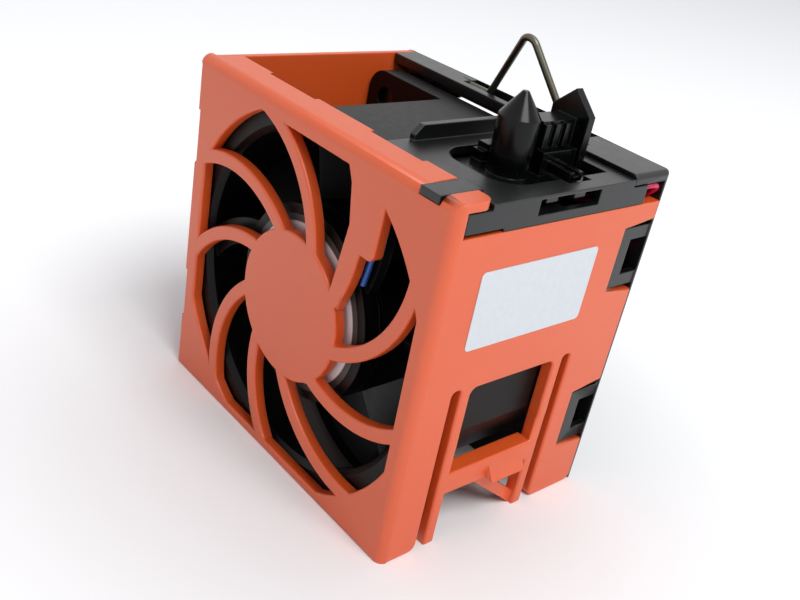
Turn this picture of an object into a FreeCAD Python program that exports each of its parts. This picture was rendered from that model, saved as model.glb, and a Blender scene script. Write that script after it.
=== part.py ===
import FreeCAD, Part
import math
import os
import re
import Sketcher

doc = FreeCAD.newDocument("FanModule")

# Driving dimensions, in millimetres, degrees and counts.
# X runs across the module, Y from the grille to the rear, Z up to the connector.
sizes = {
    # axial fan that the module carries
    "fan_size": 60.0,
    "fan_depth": 38.0,
    "fan_flange": 4.3,
    "fan_corner": 4.0,
    "fan_barrel_bulge": 1.6,
    "fan_bore_inset": 1.4,
    "fan_bore_chamfer": 1.0,
    "fan_hole_inset": 5.0,
    "fan_hole_radius": 2.15,
    "fan_gap": 0.3,
    "strut_count": 3,
    "strut_width": 4.6,
    "strut_setback": 1.7,
    "base_radius": 16.9,
    "base_setback": 0.6,
    "base_thickness": 3.0,
    "sticker_radius": 15.2,
    "sticker_thickness": 0.12,
    # orange shroud
    "grille_thickness": 2.0,
    "side_wall": 2.25,
    "ledge_thickness": 2.0,
    "ledge_depth": 6.81,
    "ledge_recess": 0.85,
    "lip_thickness": 1.3,
    "lip_round": 2.0,
    "foot_round": 1.5,
    "left_pad_end": 21.0,
    "middle_pad_left": 7.9,
    "middle_pad_right": 6.2,
    "right_pad_start": 18.4,
    "front_round": 1.8,
    "left_chamfer": 1.2,
    "opening_bulge": 2.9,
    "rim_side": 3.45,
    "rim_top": 3.4,
    "rim_bottom": 1.45,
    "disc_radius": 12.95,
    "spoke_count": 9,
    "spoke_width": 2.5,
    "spoke_root_angle": 33.0,
    "spoke_bend_radius": 22.8,
    "spoke_centre_radius": 20.3,
    "spoke_centre_lead": 83.4,
    "plate_left_inset": 11.1,
    "plate_waist_inset": 9.5,
    "plate_waist_drop": 11.9,
    "plate_right_inset": 2.1,
    "plate_step_right_inset": 3.05,
    "plate_step_left_inset": 6.05,
    "plate_step_drop": 15.5,
    "plate_round": 1.3,
    "skirt_height": 5.2,
    "groove_depth": 0.5,
    "groove_height": 9.6,
    # spring latches in the side walls
    "latch_centre": -2.6,
    "window_width": 19.1,
    "window_top": 30.6,
    "window_round": 1.3,
    "leg_width": 2.1,
    "leg_slot": 2.0,
    "slot_top": 31.0,
    "slot_round": 0.8,
    "latch_hinge_height": 20.5,
    "latch_gap": 0.3,
    "bridge_bottom": 10.0,
    "bridge_top": 14.1,
    "bridge_depth": 3.0,
    "hook_centre": 1.05,
    "hook_width": 7.9,
    "hook_rise": 2.7,
    "hook_reach": 1.7,
    "brace_slope": 38.5,
    "brace_width": 2.0,
    "brace_depth": 1.3,
    # clips that hold the rear frame in the side walls
    "clip_drop": 9.6,
    "clip_lower": 16.0,
    "notch_height": 11.4,
    "notch_depth": 7.3,
    "notch_flare": 1.0,
    "loop_height": 10.8,
    "loop_inset": 0.35,
    "loop_thickness": 1.2,
    "loop_rail": 2.2,
    "loop_post": 2.7,
    # black rear frame
    "rear_space": 6.2,
    "rear_plate": 1.24,
    "rear_inset": 0.15,
    "rear_round": 1.2,
    "bar_gap": 1.05,
    "bar_lip": 1.8,
    "bar_thickness": 2.7,
    "bar_step": 1.2,
    "shelf_inset": 12.55,
    "shelf_reach": 3.0,
    "shelf_thickness": 1.7,
    "standoff_radius": 2.9,
    "peg_clearance": 0.1,
    "peg_length": 3.0,
    # wire bail in the rear bar
    "bail_wire_radius": 0.65,
    "bail_clearance": 0.06,
    "bail_centre": 2.45,
    "bail_half_span": 9.6,
    "bail_height": 15.3,
    "bail_lean": 16.5,
    "bail_stub": 7.2,
    "bail_bend": 1.8,
    "bail_inset": 2.57,
    "cradle_width": 4.1,
    "cradle_depth": 1.5,
    "cradle_half_length": 14.85,
    # connector deck
    "deck_reach": 12.5,
    "deck_drop": 0.7,
    "deck_thickness": 1.3,
    "deck_joint": 0.2,
    "skirt_inset": 0.1,
    "skirt_thickness": 1.3,
    "skirt_front_gap": 2.27,
    "skirt_rear_gap": 4.63,
    "skirt_step": -14.0,
    "skirt_step_height": 0.6,
    "skirt_slot_front": -7.5,
    "skirt_slot_rear": 6.1,
    "skirt_slot_bottom": 1.5,
    "skirt_slot_height": 2.5,
    "skirt_slot_face": 0.7,
    "skirt_slot_reach": 1.7,
    "slot_block_first": 2.1,
    "slot_block_width": 2.4,
    "slot_block_pitch": 6.2,
    "slot_block_drop": 1.1,
    "fin_front": -12.0,
    "fin_rear": 10.0,
    "fin_height": 2.4,
    "fin_bevel": 1.5,
    "fin_thickness": 1.1,
    "tab_inset": 7.65,
    "tab_width": 3.9,
    "tab_clearance": 0.2,
    "tab_thickness": 1.2,
    "tab_drop": 0.1,
    "well_reach_left": 7.8,
    "well_reach_right": 7.2,
    "well_front": -10.8,
    "well_rear_gap": 0.9,
    "well_round": 5.0,
    "ear_slot_reach": 1.6,
    "ear_slot_front": 1.0,
    "ear_slot_rear": 6.2,
    "keeper_width": 5.0,
    "keeper_thickness": 1.0,
    "keeper_lip": 1.3,
    # blind-mating connector
    "plug_base_reach_left": 6.7,
    "plug_base_reach_right": 8.2,
    "plug_base_front": -12.6,
    "plug_base_margin": 1.0,
    "plug_base_thickness": 1.4,
    "post_inset": 11.25,
    "post_y": -3.0,
    "post_radius": 3.2,
    "post_tip_radius": 0.5,
    "post_height": 8.75,
    "post_cone": 3.75,
    "blade_width": 7.5,
    "blade_front": 8.5,
    "blade_thickness": 1.4,
    "blade_height": 8.9,
    "blade_point": 3.4,
    "plug_gap": 0.9,
    "plug_left": 2.3,
    "plug_right": 1.4,
    "plug_height": 8.0,
    "plug_rib_count": 3,
    "plug_rib_pitch": 2.3,
    "plug_rib_first": 1.1,
    "plug_rib_width": 1.1,
    "plug_rib_depth": 0.7,
    "plug_rib_bottom": 4.0,
    "plug_rib_top": 7.7,
    "plug_ledge_depth": 1.5,
    "plug_ledge_height": 3.7,
    "ear_reach": 7.7,
    "ear_front": 2.2,
    "ear_width": 2.8,
    "ear_bottom": 0.9,
    "ear_top": 2.3,
    "ear_channel": 1.0,
    "stub_reach": 6.6,
    "stub_width": 2.2,
    "stub_front": -3.2,
    "stub_depth": 3.8,
    "stub_height": 2.6,
    "stub_step": 1.0,
    "contact_count": 4,
    "contact_first": 2.1,
    "contact_pitch": 1.9,
    "contact_width": 1.2,
    "contact_thickness": 0.3,
    "contact_slot_clearance": 0.05,
    "contact_top": 7.1,
    "contact_tail": 1.1,
    # rotor
    "tip_gap": 0.6,
    "hub_radius": 16.9,
    "hub_wall": 1.0,
    "hub_end": 1.8,
    "hub_round": 1.2,
    "hub_front_gap": 0.6,
    "hub_rear_setback": 1.5,
    "blade_count": 7,
    "blade_lead": 2.0,
    "blade_tail": 2.0,
    "blade_root_sweep": 10.5,
    "blade_tip_sweep": 19.0,
    "blade_root_back": 30.0,
    "blade_root_face": 46.0,
    "blade_tip_back": 40.0,
    "blade_tip_face": 60.0,
    "blade_root_plane": 12.5,
    "yoke_thickness": 1.0,
    "yoke_length": 20.5,
    "magnet_thickness": 1.45,
    "magnet_length": 13.0,
    "magnet_setback": 1.1,
    "shaft_radius": 1.5,
    "shaft_front": 1.3,
    "shaft_rear": 1.2,
    "boss_radius": 4.0,
    "boss_neck_radius": 3.0,
    "boss_length": 2.6,
    # bearings
    "tube_radius": 4.6,
    "tube_wall": 0.6,
    "tube_front": 1.1,
    "tube_gap": 0.8,
    "bearing_width": 3.0,
    "bearing_ring": 0.62,
    "bearing_front": 2.8,
    "bearing_rear_gap": 0.5,
    "ball_count": 7,
    "ball_clearance": 0.05,
    "clip_radius": 2.6,
    "clip_thickness": 0.5,
    "clip_groove": 0.3,
    "clip_setback": 0.7,
    "clip_mouth": 1.4,
    "spring_radius": 2.5,
    # stator
    "air_gap": 0.5,
    "stator_front": 9.4,
    "stator_length": 8.0,
    "stator_ring": 6.6,
    "tooth_count": 4,
    "tooth_width": 3.4,
    "shoe_thickness": 1.5,
    "shoe_mouth": 3.0,
    "insulator_thickness": 1.2,
    "insulator_margin": 0.4,
    "coil_thickness": 1.5,
    "coil_clearance": 0.15,
    "coil_margin": 0.4,
    "board_radius": 13.2,
    "board_thickness": 1.0,
    "board_gap": 0.8,
    "board_clearance": 0.15,
    # leads from the motor to the connector
    "lead_radius": 0.5,
    "lead_bend": 2.5,
    "lead_pitch": 1.15,
    "lead_exit_angle": 51.4,
    "lead_exit_step": 4.6,
    "lead_strut_inset": 9.7,
    "lead_notch_reach": 7.15,
    "lead_notch_width": 5.6,
    "lead_recess_margin": 3.8,
    "lead_recess_depth": 1.7,
    "slack_notch_width": 2.8,
    "slack_drop": 3.5,
    "slack_lead": 2.0,
    "slack_side": 1.1,
    # side label
    "label_front": -16.25,
    "label_rear": 9.4,
    "label_drop": 5.85,
    "label_height": 12.95,
    "label_round": 0.8,
    "label_thickness": 0.12,
}

sheet = doc.addObject("Spreadsheet::Sheet", "Sizes")
for row, (alias, number) in enumerate(sizes.items(), start=1):
    sheet.set(f"A{row}", alias)
    sheet.set(f"B{row}", str(number))
    sheet.setAlias(f"B{row}", alias)
doc.recompute()

alias_words = re.compile(r"\b(" + "|".join(sizes) + r")\b")
probe = doc.addObject("Part::Vertex", "Probe")
nodes = []

# Planes of the module that several pieces share
axis = "(fan_size / 2)"
half_width = "(fan_size / 2 + fan_gap + side_wall)"
inner_width = "(fan_size / 2 + fan_gap)"
top = "(fan_size + fan_gap + ledge_thickness)"
half_depth = "((grille_thickness + fan_gap + fan_depth + rear_space + rear_plate) / 2)"
front = f"(-{half_depth})"
grille_rear = f"({front} + grille_thickness)"
fan_front = f"({grille_rear} + fan_gap)"
fan_rear = f"({fan_front} + fan_depth)"
wall_rear = f"({half_depth} - rear_plate)"
frame_half = f"({half_width} - rear_inset)"
deck_top = f"({top} - deck_drop)"
deck_bottom = f"({deck_top} - deck_thickness)"
deck_front = f"({front} + ledge_depth)"
bar_front = f"({fan_rear} + bar_gap)"
shelf_front = f"({bar_front} - shelf_reach)"
bail_y = f"({half_depth} - bail_inset)"
bail_z = f"({top} - cradle_depth / 2)"
base_front = f"({fan_front} + base_setback)"
base_rear = f"({base_front} + base_thickness)"
hub_front = f"({base_rear} + hub_front_gap)"
hub_rear = f"({fan_rear} - hub_rear_setback)"
yoke_radius = "(hub_radius - hub_wall)"
magnet_radius = f"({yoke_radius} - yoke_thickness)"
stator_radius = f"({magnet_radius} - magnet_thickness - air_gap)"
yoke_front = f"({hub_front} + magnet_setback - hub_front_gap)"
yoke_rear = f"({yoke_front} + yoke_length)"
boss_front = f"({yoke_rear} - yoke_thickness - boss_length)"
tube_rear = f"({boss_front} - tube_gap)"
bearing_radius = "(tube_radius - tube_wall)"
barrel_radius = "(fan_size / 2 + fan_barrel_bulge)"
bore_radius = "(fan_size / 2 - fan_bore_inset)"
hole_offset = "(fan_size / 2 - fan_hole_inset)"
impeller_radius = f"({bore_radius} - tip_gap)"
opening_radius = f"({half_width} - rim_side + opening_bulge)"
right_top = f"({top} - skirt_height)"
clip_upper = f"({right_top} - clip_drop)"
shelf_left = f"({half_width} - shelf_inset)"
tab_left = f"({half_width} - tab_inset)"
post_x = f"({half_width} - post_inset)"
deck_left = f"({post_x} - deck_reach)"
well_left = f"({post_x} - well_reach_left)"
well_right = f"({post_x} + well_reach_right)"
plug_front = "(post_y + post_radius + plug_gap)"
plug_base_left = f"({post_x} - plug_base_reach_left)"
plug_base_right = f"({post_x} + plug_base_reach_right)"
plug_base_rear = "(blade_front + blade_thickness + plug_base_margin)"
well_rear = f"({plug_base_rear} + well_rear_gap)"
over_barrel = f"({deck_bottom} - plug_base_thickness - lead_radius - contact_slot_clearance)"
lead_floor = f"({over_barrel} - lead_radius - fan_gap)"
lead_notch_left = f"({post_x} - lead_notch_reach)"
lead_notch_right = f"({lead_notch_left} + lead_notch_width)"
skirt_front = f"({front} + skirt_front_gap)"
skirt_rear = f"({wall_rear} - skirt_rear_gap)"


def bind(thing, prop, formula):
    thing.setExpression(prop, alias_words.sub(r"Sizes.\1", formula))


def measure(formula):
    bind(probe, "X", formula)
    doc.recompute([probe])
    return probe.X.Value


def spot(x, y, z):
    return FreeCAD.Vector(measure(x), measure(y), measure(z))


# Sketches, features and bodies
def new_body(label, height="0"):
    body = doc.addObject("PartDesign::Body", label)
    bind(body, "Placement.Base.z", height)
    nodes.append(body)
    return body


def origin_part(body, role):
    return next(part for part in body.Origin.OriginFeatures if part.Role == role)


def new_sketch(body, role, level):
    sketch = body.newObject("Sketcher::SketchObject", "Sketch")
    sketch.AttachmentSupport = [(origin_part(body, role), "")]
    sketch.MapMode = "FlatFace"
    bind(sketch, "AttachmentOffset.Base.z", level)
    return sketch


def front_sketch(body, y):
    return new_sketch(body, "XZ_Plane", f"-({y})")


def side_sketch(body, x):
    return new_sketch(body, "YZ_Plane", x)


def plan_sketch(body, z):
    return new_sketch(body, "XY_Plane", z)


def arc_between(here, there, radius, side):
    chord = there - here
    rise = math.sqrt(max(radius ** 2 - chord.Length ** 2 / 4, 0))
    turn = 1 if side == "left" else -1
    across = FreeCAD.Vector(-chord.y, chord.x, 0) / chord.Length
    centre = (here + there) / 2 + across * rise * turn
    first, last = (here, there) if turn == 1 else (there, here)
    angles = [math.atan2(end.y - centre.y, end.x - centre.x) for end in (first, last)]
    return Part.ArcOfCircle(Part.Circle(centre, FreeCAD.Vector(0, 0, 1), radius), *angles)


# A closed outline through corners (x, y); a corner (x, y, radius, side) starts an arc
# whose centre lies to that side of the way to the next corner.
def outline(sketch, corners):
    places = [FreeCAD.Vector(measure(corner[0]), measure(corner[1]), 0) for corner in corners]
    edges = []
    for index, corner in enumerate(corners):
        here = places[index]
        there = places[(index + 1) % len(places)]
        if len(corner) == 2:
            edge = sketch.addGeometry(Part.LineSegment(here, there), False)
            edges.append((edge, 1, 2))
            continue
        radius = measure(corner[2])
        edge = sketch.addGeometry(arc_between(here, there, radius, corner[3]), False)
        edges.append((edge, 1, 2) if corner[3] == "left" else (edge, 2, 1))
        size = sketch.addConstraint(Sketcher.Constraint("Radius", edge, radius))
        bind(sketch, f"Constraints[{size}]", corner[2])
    for index, corner in enumerate(corners):
        edge, start, end = edges[index]
        following = edges[(index + 1) % len(edges)]
        sketch.addConstraint(Sketcher.Constraint("Coincident", edge, end, following[0], following[1]))
        for kind, formula in zip(("DistanceX", "DistanceY"), corner):
            value = measure(formula)
            size = sketch.addConstraint(Sketcher.Constraint(kind, -1, 1, edge, start, value))
            bind(sketch, f"Constraints[{size}]", formula)


def rectangle(sketch, left, low, right, high):
    outline(sketch, [(left, low), (right, low), (right, high), (left, high)])


def rounded_rectangle(sketch, left, low, right, high, radius):
    outline(sketch, [
        (f"{left} + {radius}", low),
        (f"{right} - {radius}", low, radius, "left"),
        (right, f"{low} + {radius}"),
        (right, f"{high} - {radius}", radius, "left"),
        (f"{right} - {radius}", high),
        (f"{left} + {radius}", high, radius, "left"),
        (left, f"{high} - {radius}"),
        (left, f"{low} + {radius}", radius, "left"),
    ])


def circle(sketch, x, y, radius):
    centre = FreeCAD.Vector(measure(x), measure(y), 0)
    edge = sketch.addGeometry(Part.Circle(centre, FreeCAD.Vector(0, 0, 1), measure(radius)), False)
    size = sketch.addConstraint(Sketcher.Constraint("Radius", edge, measure(radius)))
    bind(sketch, f"Constraints[{size}]", radius)
    for kind, formula in (("DistanceX", x), ("DistanceY", y)):
        size = sketch.addConstraint(Sketcher.Constraint(kind, -1, 1, edge, 3, measure(formula)))
        bind(sketch, f"Constraints[{size}]", formula)


def extrude(body, kind, sketch, length, reverse):
    feature = body.newObject(f"PartDesign::{kind}", kind)
    feature.Profile = sketch
    bind(feature, "Length", length)
    feature.Reversed = reverse
    doc.recompute()
    return feature


def pad(body, sketch, length, reverse=False):
    return extrude(body, "Pad", sketch, length, reverse)


def pocket(body, sketch, length, reverse=False):
    before = body.Shape.Volume
    feature = extrude(body, "Pocket", sketch, length, reverse)
    if body.Shape.Volume >= before:
        raise RuntimeError(f"{body.Label}: a pocket cuts nothing")
    return feature


def spin(body, kind, corners):
    sketch = plan_sketch(body, "0")
    outline(sketch, corners)
    feature = body.newObject(f"PartDesign::{kind}", kind)
    feature.Profile = sketch
    feature.ReferenceAxis = (origin_part(body, "Y_Axis"), [""])
    feature.Angle = 360
    doc.recompute()
    return feature


def around_axis(body, feature, count):
    pattern = body.newObject("PartDesign::PolarPattern", "PolarPattern")
    pattern.Originals = [feature]
    pattern.Axis = (origin_part(body, "Y_Axis"), [""])
    pattern.Angle = 360
    bind(pattern, "Occurrences", count)
    body.Tip = pattern
    doc.recompute()
    return pattern


def along_depth(body, feature, count, pitch):
    pattern = body.newObject("PartDesign::LinearPattern", "LinearPattern")
    pattern.Originals = [feature]
    pattern.Direction = (origin_part(body, "Y_Axis"), [""])
    bind(pattern, "Length", f"({count} - 1) * {pitch}")
    bind(pattern, "Occurrences", count)
    body.Tip = pattern
    doc.recompute()
    return pattern


def dress(body, kind, prop, size, chosen):
    base = body.Tip
    names = [f"Edge{number}" for number, edge in enumerate(base.Shape.Edges, start=1) if chosen(edge.BoundBox)]
    feature = body.newObject(f"PartDesign::{kind}", kind)
    feature.Base = (base, names)
    bind(feature, prop, size)
    doc.recompute()
    return feature


def turned(label, corners):
    body = new_body(label, axis)
    spin(body, "Revolution", corners)
    return body


def ring(label, inner, outer, start, end):
    return turned(label, [(inner, start), (outer, start), (outer, end), (inner, end)])


def above_axis(z):
    return f"({z}) - {axis}"


# Swirl shared by the grille's spokes and the fan's struts: an arc whose centre lies off the
# fan's axis, cut where it reaches the inner and the outer radius.
def swirl(sketch, width, inner, outer):
    centre = "((spoke_root_angle + spoke_centre_lead) * 1 deg)"
    reach = "2 * spoke_centre_radius * spoke_bend_radius"
    squares = "spoke_centre_radius ^ 2 - spoke_bend_radius ^ 2"

    def corner(edge_radius, radius):
        turn = f"({centre} - acos((({radius}) ^ 2 - {squares}) / ({reach})))"
        x = f"spoke_centre_radius * cos({centre}) + ({edge_radius}) * cos({turn})"
        y = f"spoke_centre_radius * sin({centre}) + ({edge_radius}) * sin({turn})"
        return x, y

    wide = f"spoke_bend_radius + {width} / 2"
    narrow = f"spoke_bend_radius - {width} / 2"
    outline(sketch, [
        (*corner(wide, inner), wide, "left"),
        corner(wide, outer),
        (*corner(narrow, outer), narrow, "right"),
        corner(narrow, inner),
    ])


# Frame with a large opening: a circle cut off straight by the four rims
def opening_frame(body, level, thickness, half):
    side = f"({half_width} - rim_side)"
    low = f"({axis} - rim_bottom)"
    high = f"({top} - rim_top - {axis})"
    side_rise = f"sqrt({opening_radius} ^ 2 - {side} ^ 2)"
    low_run = f"sqrt({opening_radius} ^ 2 - {low} ^ 2)"
    high_run = f"sqrt({opening_radius} ^ 2 - {high} ^ 2)"
    frame = front_sketch(body, level)
    rectangle(frame, f"-{half}", above_axis("0"), half, above_axis(top))
    outline(frame, [
        (side, f"-{side_rise}"),
        (side, side_rise, opening_radius, "left"),
        (high_run, high),
        (f"-{high_run}", high, opening_radius, "left"),
        (f"-{side}", side_rise),
        (f"-{side}", f"-{side_rise}", opening_radius, "left"),
        (f"-{low_run}", f"-{low}"),
        (low_run, f"-{low}", opening_radius, "left"),
    ])
    pad(body, frame, thickness, reverse=True)


# Orange shroud with its swirl grille, side walls and top ledge
def add_grille(body):
    disc = front_sketch(body, front)
    circle(disc, "0", "0", "disc_radius")
    pad(body, disc, "grille_thickness", reverse=True)
    spoke = front_sketch(body, front)
    swirl(spoke, "spoke_width", "disc_radius - spoke_width", f"{opening_radius} + spoke_width")
    around_axis(body, pad(body, spoke, "grille_thickness", reverse=True), "spoke_count")
    spare = front_sketch(body, front)
    far = f"2 * {half_width}"
    side = f"({half_width} - rim_side / 2)"
    rectangle(spare, f"-{far}", f"-{far}", far, far)
    rectangle(spare, f"-{side}", above_axis("rim_bottom / 2"), side, above_axis(f"{top} - rim_top / 2"))
    pocket(body, spare, "grille_thickness")


# Wide end of one spoke, which covers the leads on the strut behind it
def add_spoke_plate(body):
    plate = front_sketch(body, front)
    rim = above_axis(f"{top} - rim_top / 2")
    step = above_axis(f"{top} - plate_step_drop")
    foot_x = "disc_radius * cos(spoke_root_angle * 1 deg)"
    foot_z = "disc_radius * sin(spoke_root_angle * 1 deg)"
    outline(plate, [
        (f"{post_x} - plate_left_inset", rim),
        (f"{post_x} - plate_waist_inset", above_axis(f"{top} - plate_waist_drop")),
        (f"{foot_x} - spoke_width / 2", f"{foot_z} + spoke_width / 4"),
        (f"{foot_x} + spoke_width / 2", f"{foot_z} - spoke_width / 2"),
        (f"{post_x} - plate_step_left_inset", step),
        (f"{post_x} - plate_step_right_inset - plate_round", step, "plate_round", "left"),
        (f"{post_x} - plate_step_right_inset", f"{step} + plate_round"),
        (f"{post_x} - plate_right_inset", rim),
    ])
    pad(body, plate, "grille_thickness", reverse=True)


def add_walls(body):
    wall_length = f"{wall_rear} - {grille_rear}"
    left = front_sketch(body, grille_rear)
    outline(left, [
        (f"-{half_width}", above_axis("0")),
        (f"-{inner_width}", above_axis("0")),
        (f"-{inner_width}", above_axis(top)),
        (f"-{half_width} + left_chamfer", above_axis(top)),
        (f"-{half_width}", above_axis(f"{top} - left_chamfer")),
    ])
    pad(body, left, wall_length, reverse=True)
    right = front_sketch(body, grille_rear)
    rectangle(right, inner_width, above_axis("0"), half_width, above_axis(right_top))
    pad(body, right, wall_length, reverse=True)
    ledge = front_sketch(body, grille_rear)
    rectangle(ledge, f"-{inner_width}", above_axis(f"{top} - ledge_thickness"), half_width, above_axis(top))
    pad(body, ledge, "ledge_depth - grille_thickness", reverse=True)


def cut_ledge(body):
    recess = plan_sketch(body, above_axis(top))
    for left, right in (("-left_pad_end", "-middle_pad_left"), ("middle_pad_right", "right_pad_start")):
        rectangle(recess, left, f"{deck_front} - ledge_recess", right, f"{deck_front} + ledge_recess")
    pocket(body, recess, "ledge_thickness")
    notch = plan_sketch(body, above_axis(top))
    rectangle(notch, f"{tab_left} - tab_clearance", f"{front} - ledge_recess",
              f"{tab_left} + tab_width + tab_clearance", f"{deck_front} + ledge_recess")
    pocket(body, notch, "tab_drop + tab_thickness + tab_clearance")
    rebate = plan_sketch(body, above_axis(f"{top} - ledge_thickness"))
    rectangle(rebate, f"{half_width} - skirt_inset - skirt_thickness - fan_gap", grille_rear,
              f"{half_width} + ledge_recess", f"{deck_front} + ledge_recess")
    pocket(body, rebate, "ledge_thickness - lip_thickness", reverse=True)
    flank = measure(half_width)
    rear = measure(deck_front)
    crown = measure(above_axis(top))

    def lip_corner(box):
        upright = box.XLength < 0.01 and box.YLength < 0.01 and abs(box.ZMax - crown) < 0.01
        return upright and abs(box.XMin - flank) < 0.01 and abs(box.YMin - rear) < 0.01

    dress(body, "Fillet", "Radius", "lip_round", lip_corner)


# Lower corners of the side walls, beside the latches and at the rear
def round_feet(body):
    floor = measure(above_axis("0"))
    slot = "(window_width / 2 + leg_width + leg_slot)"
    corners = [measure(y) for y in (f"latch_centre - {slot}", f"latch_centre + {slot}", wall_rear)]
    wall = measure("side_wall")

    def foot_corner(box):
        across = abs(box.XLength - wall) < 0.01 and box.YLength < 0.01 and abs(box.ZMax - floor) < 0.01
        return across and min(abs(box.YMin - y) for y in corners) < 0.01

    dress(body, "Fillet", "Radius", "foot_round", foot_corner)


def cut_latch(body, side):
    outer = f"{side} * ({half_width} + ledge_recess)"
    depth = "side_wall + 2 * ledge_recess"
    window = "window_width / 2"
    leg = f"({window} + leg_width)"
    slot = f"({leg} + leg_slot)"
    arch = above_axis("slot_top - slot_round")
    split = above_axis("latch_hinge_height + latch_gap / 2")
    cut = side_sketch(body, outer)
    outline(cut, [
        (f"latch_centre - {slot}", above_axis("-ledge_recess")),
        (f"latch_centre + {slot}", above_axis("-ledge_recess")),
        (f"latch_centre + {slot}", arch, "slot_round", "left"),
        (f"latch_centre + {slot} - slot_round", above_axis("slot_top")),
        (f"latch_centre + {leg} + slot_round", above_axis("slot_top"), "slot_round", "left"),
        (f"latch_centre + {leg}", arch),
        (f"latch_centre + {leg}", split),
        (f"latch_centre + {window}", split),
        (f"latch_centre + {window}", above_axis("window_top - window_round"), "window_round", "left"),
        (f"latch_centre + {window} - window_round", above_axis("window_top")),
        (f"latch_centre - {window} + window_round", above_axis("window_top"), "window_round", "left"),
        (f"latch_centre - {window}", above_axis("window_top - window_round")),
        (f"latch_centre - {window}", split),
        (f"latch_centre - {leg}", split),
        (f"latch_centre - {leg}", arch, "slot_round", "left"),
        (f"latch_centre - {leg} - slot_round", above_axis("slot_top")),
        (f"latch_centre - {slot} + slot_round", above_axis("slot_top"), "slot_round", "left"),
        (f"latch_centre - {slot}", arch),
    ])
    pocket(body, cut, depth, reverse=side < 0)
    for level in (clip_upper, "clip_lower"):
        notch = side_sketch(body, outer)
        start = f"{wall_rear} - notch_depth"
        outline(notch, [
            (start, above_axis(f"{level} - notch_height / 2")),
            (f"{wall_rear} + ledge_recess", above_axis(f"{level} - notch_height / 2 - notch_flare")),
            (f"{wall_rear} + ledge_recess", above_axis(f"{level} + notch_height / 2 + notch_flare")),
            (start, above_axis(f"{level} + notch_height / 2")),
        ])
        pocket(body, notch, depth, reverse=side < 0)


def make_shroud():
    body = new_body("shroud", axis)
    add_grille(body)
    opening_frame(body, front, "grille_thickness", half_width)
    add_spoke_plate(body)
    face = measure(front)
    crown = measure(above_axis(top))
    flank = measure(half_width)

    def outer_front(box):
        on_face = abs(box.YMin - face) < 0.01 and abs(box.YMax - face) < 0.01
        return on_face and (box.ZMin > crown - 0.01 or box.XMin > flank - 0.01)

    dress(body, "Fillet", "Radius", "front_round", outer_front)
    add_walls(body)
    cut_ledge(body)
    for side in (1, -1):
        cut_latch(body, side)
    round_feet(body)
    groove = front_sketch(body, front)
    for level in (clip_upper, "clip_lower"):
        rectangle(groove, f"-{half_width} - groove_depth", above_axis(f"{level} - groove_height / 2"),
                  f"-{half_width} + groove_depth", above_axis(f"{level} + groove_height / 2"))
    pocket(body, groove, f"{wall_rear} - {front}")


def make_latch(label, side):
    body = new_body(label)
    window = "window_width / 2"
    leg = f"({window} + leg_width)"
    split = "latch_hinge_height - latch_gap / 2"
    frame = side_sketch(body, f"{side} * {inner_width}")
    outline(frame, [
        (f"latch_centre - {leg}", "0"),
        (f"latch_centre - {window}", "0"),
        (f"latch_centre - {window}", "bridge_bottom"),
        (f"latch_centre + {window}", "bridge_bottom"),
        (f"latch_centre + {window}", "0"),
        (f"latch_centre + {leg}", "0"),
        (f"latch_centre + {leg}", split),
        (f"latch_centre + {window}", split),
        (f"latch_centre + {window}", "bridge_top"),
        (f"latch_centre - {window}", "bridge_top"),
        (f"latch_centre - {window}", split),
        (f"latch_centre - {leg}", split),
    ])
    pad(body, frame, "side_wall", reverse=side < 0)
    bridge = side_sketch(body, f"{side} * {inner_width}")
    rectangle(bridge, f"latch_centre - {window}", "bridge_bottom", f"latch_centre + {window}", "bridge_top")
    pad(body, bridge, "bridge_depth - side_wall", reverse=side > 0)
    slope = "(brace_slope * 1 deg)"
    foot = f"(latch_centre + {window})"
    head = f"({foot} - bridge_bottom / tan({slope}))"
    rise = f"(brace_width / cos({slope}))"
    head_end = f"({head} + {rise} / tan({slope}))"
    brace = side_sketch(body, f"{side} * {inner_width}")
    outline(brace, [
        (head, "bridge_bottom"),
        (foot, "0"),
        (f"{foot} + leg_width / 2", "0"),
        (f"{foot} + leg_width / 2", rise),
        (foot, rise),
        (head_end, "bridge_bottom"),
        (head_end, "bridge_top"),
        (head, "bridge_top"),
    ])
    pad(body, brace, "brace_depth", reverse=side < 0)
    hook = front_sketch(body, "hook_centre - hook_width / 2")
    outline(hook, [
        (f"{side} * ({half_width} - side_wall / 2)", "bridge_bottom"),
        (f"{side} * ({half_width} + hook_reach)", "bridge_bottom"),
        (f"{side} * {half_width}", "bridge_bottom + hook_rise"),
        (f"{side} * ({half_width} - side_wall / 2)", "bridge_bottom + hook_rise"),
    ])
    pad(body, hook, "hook_width", reverse=True)


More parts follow.
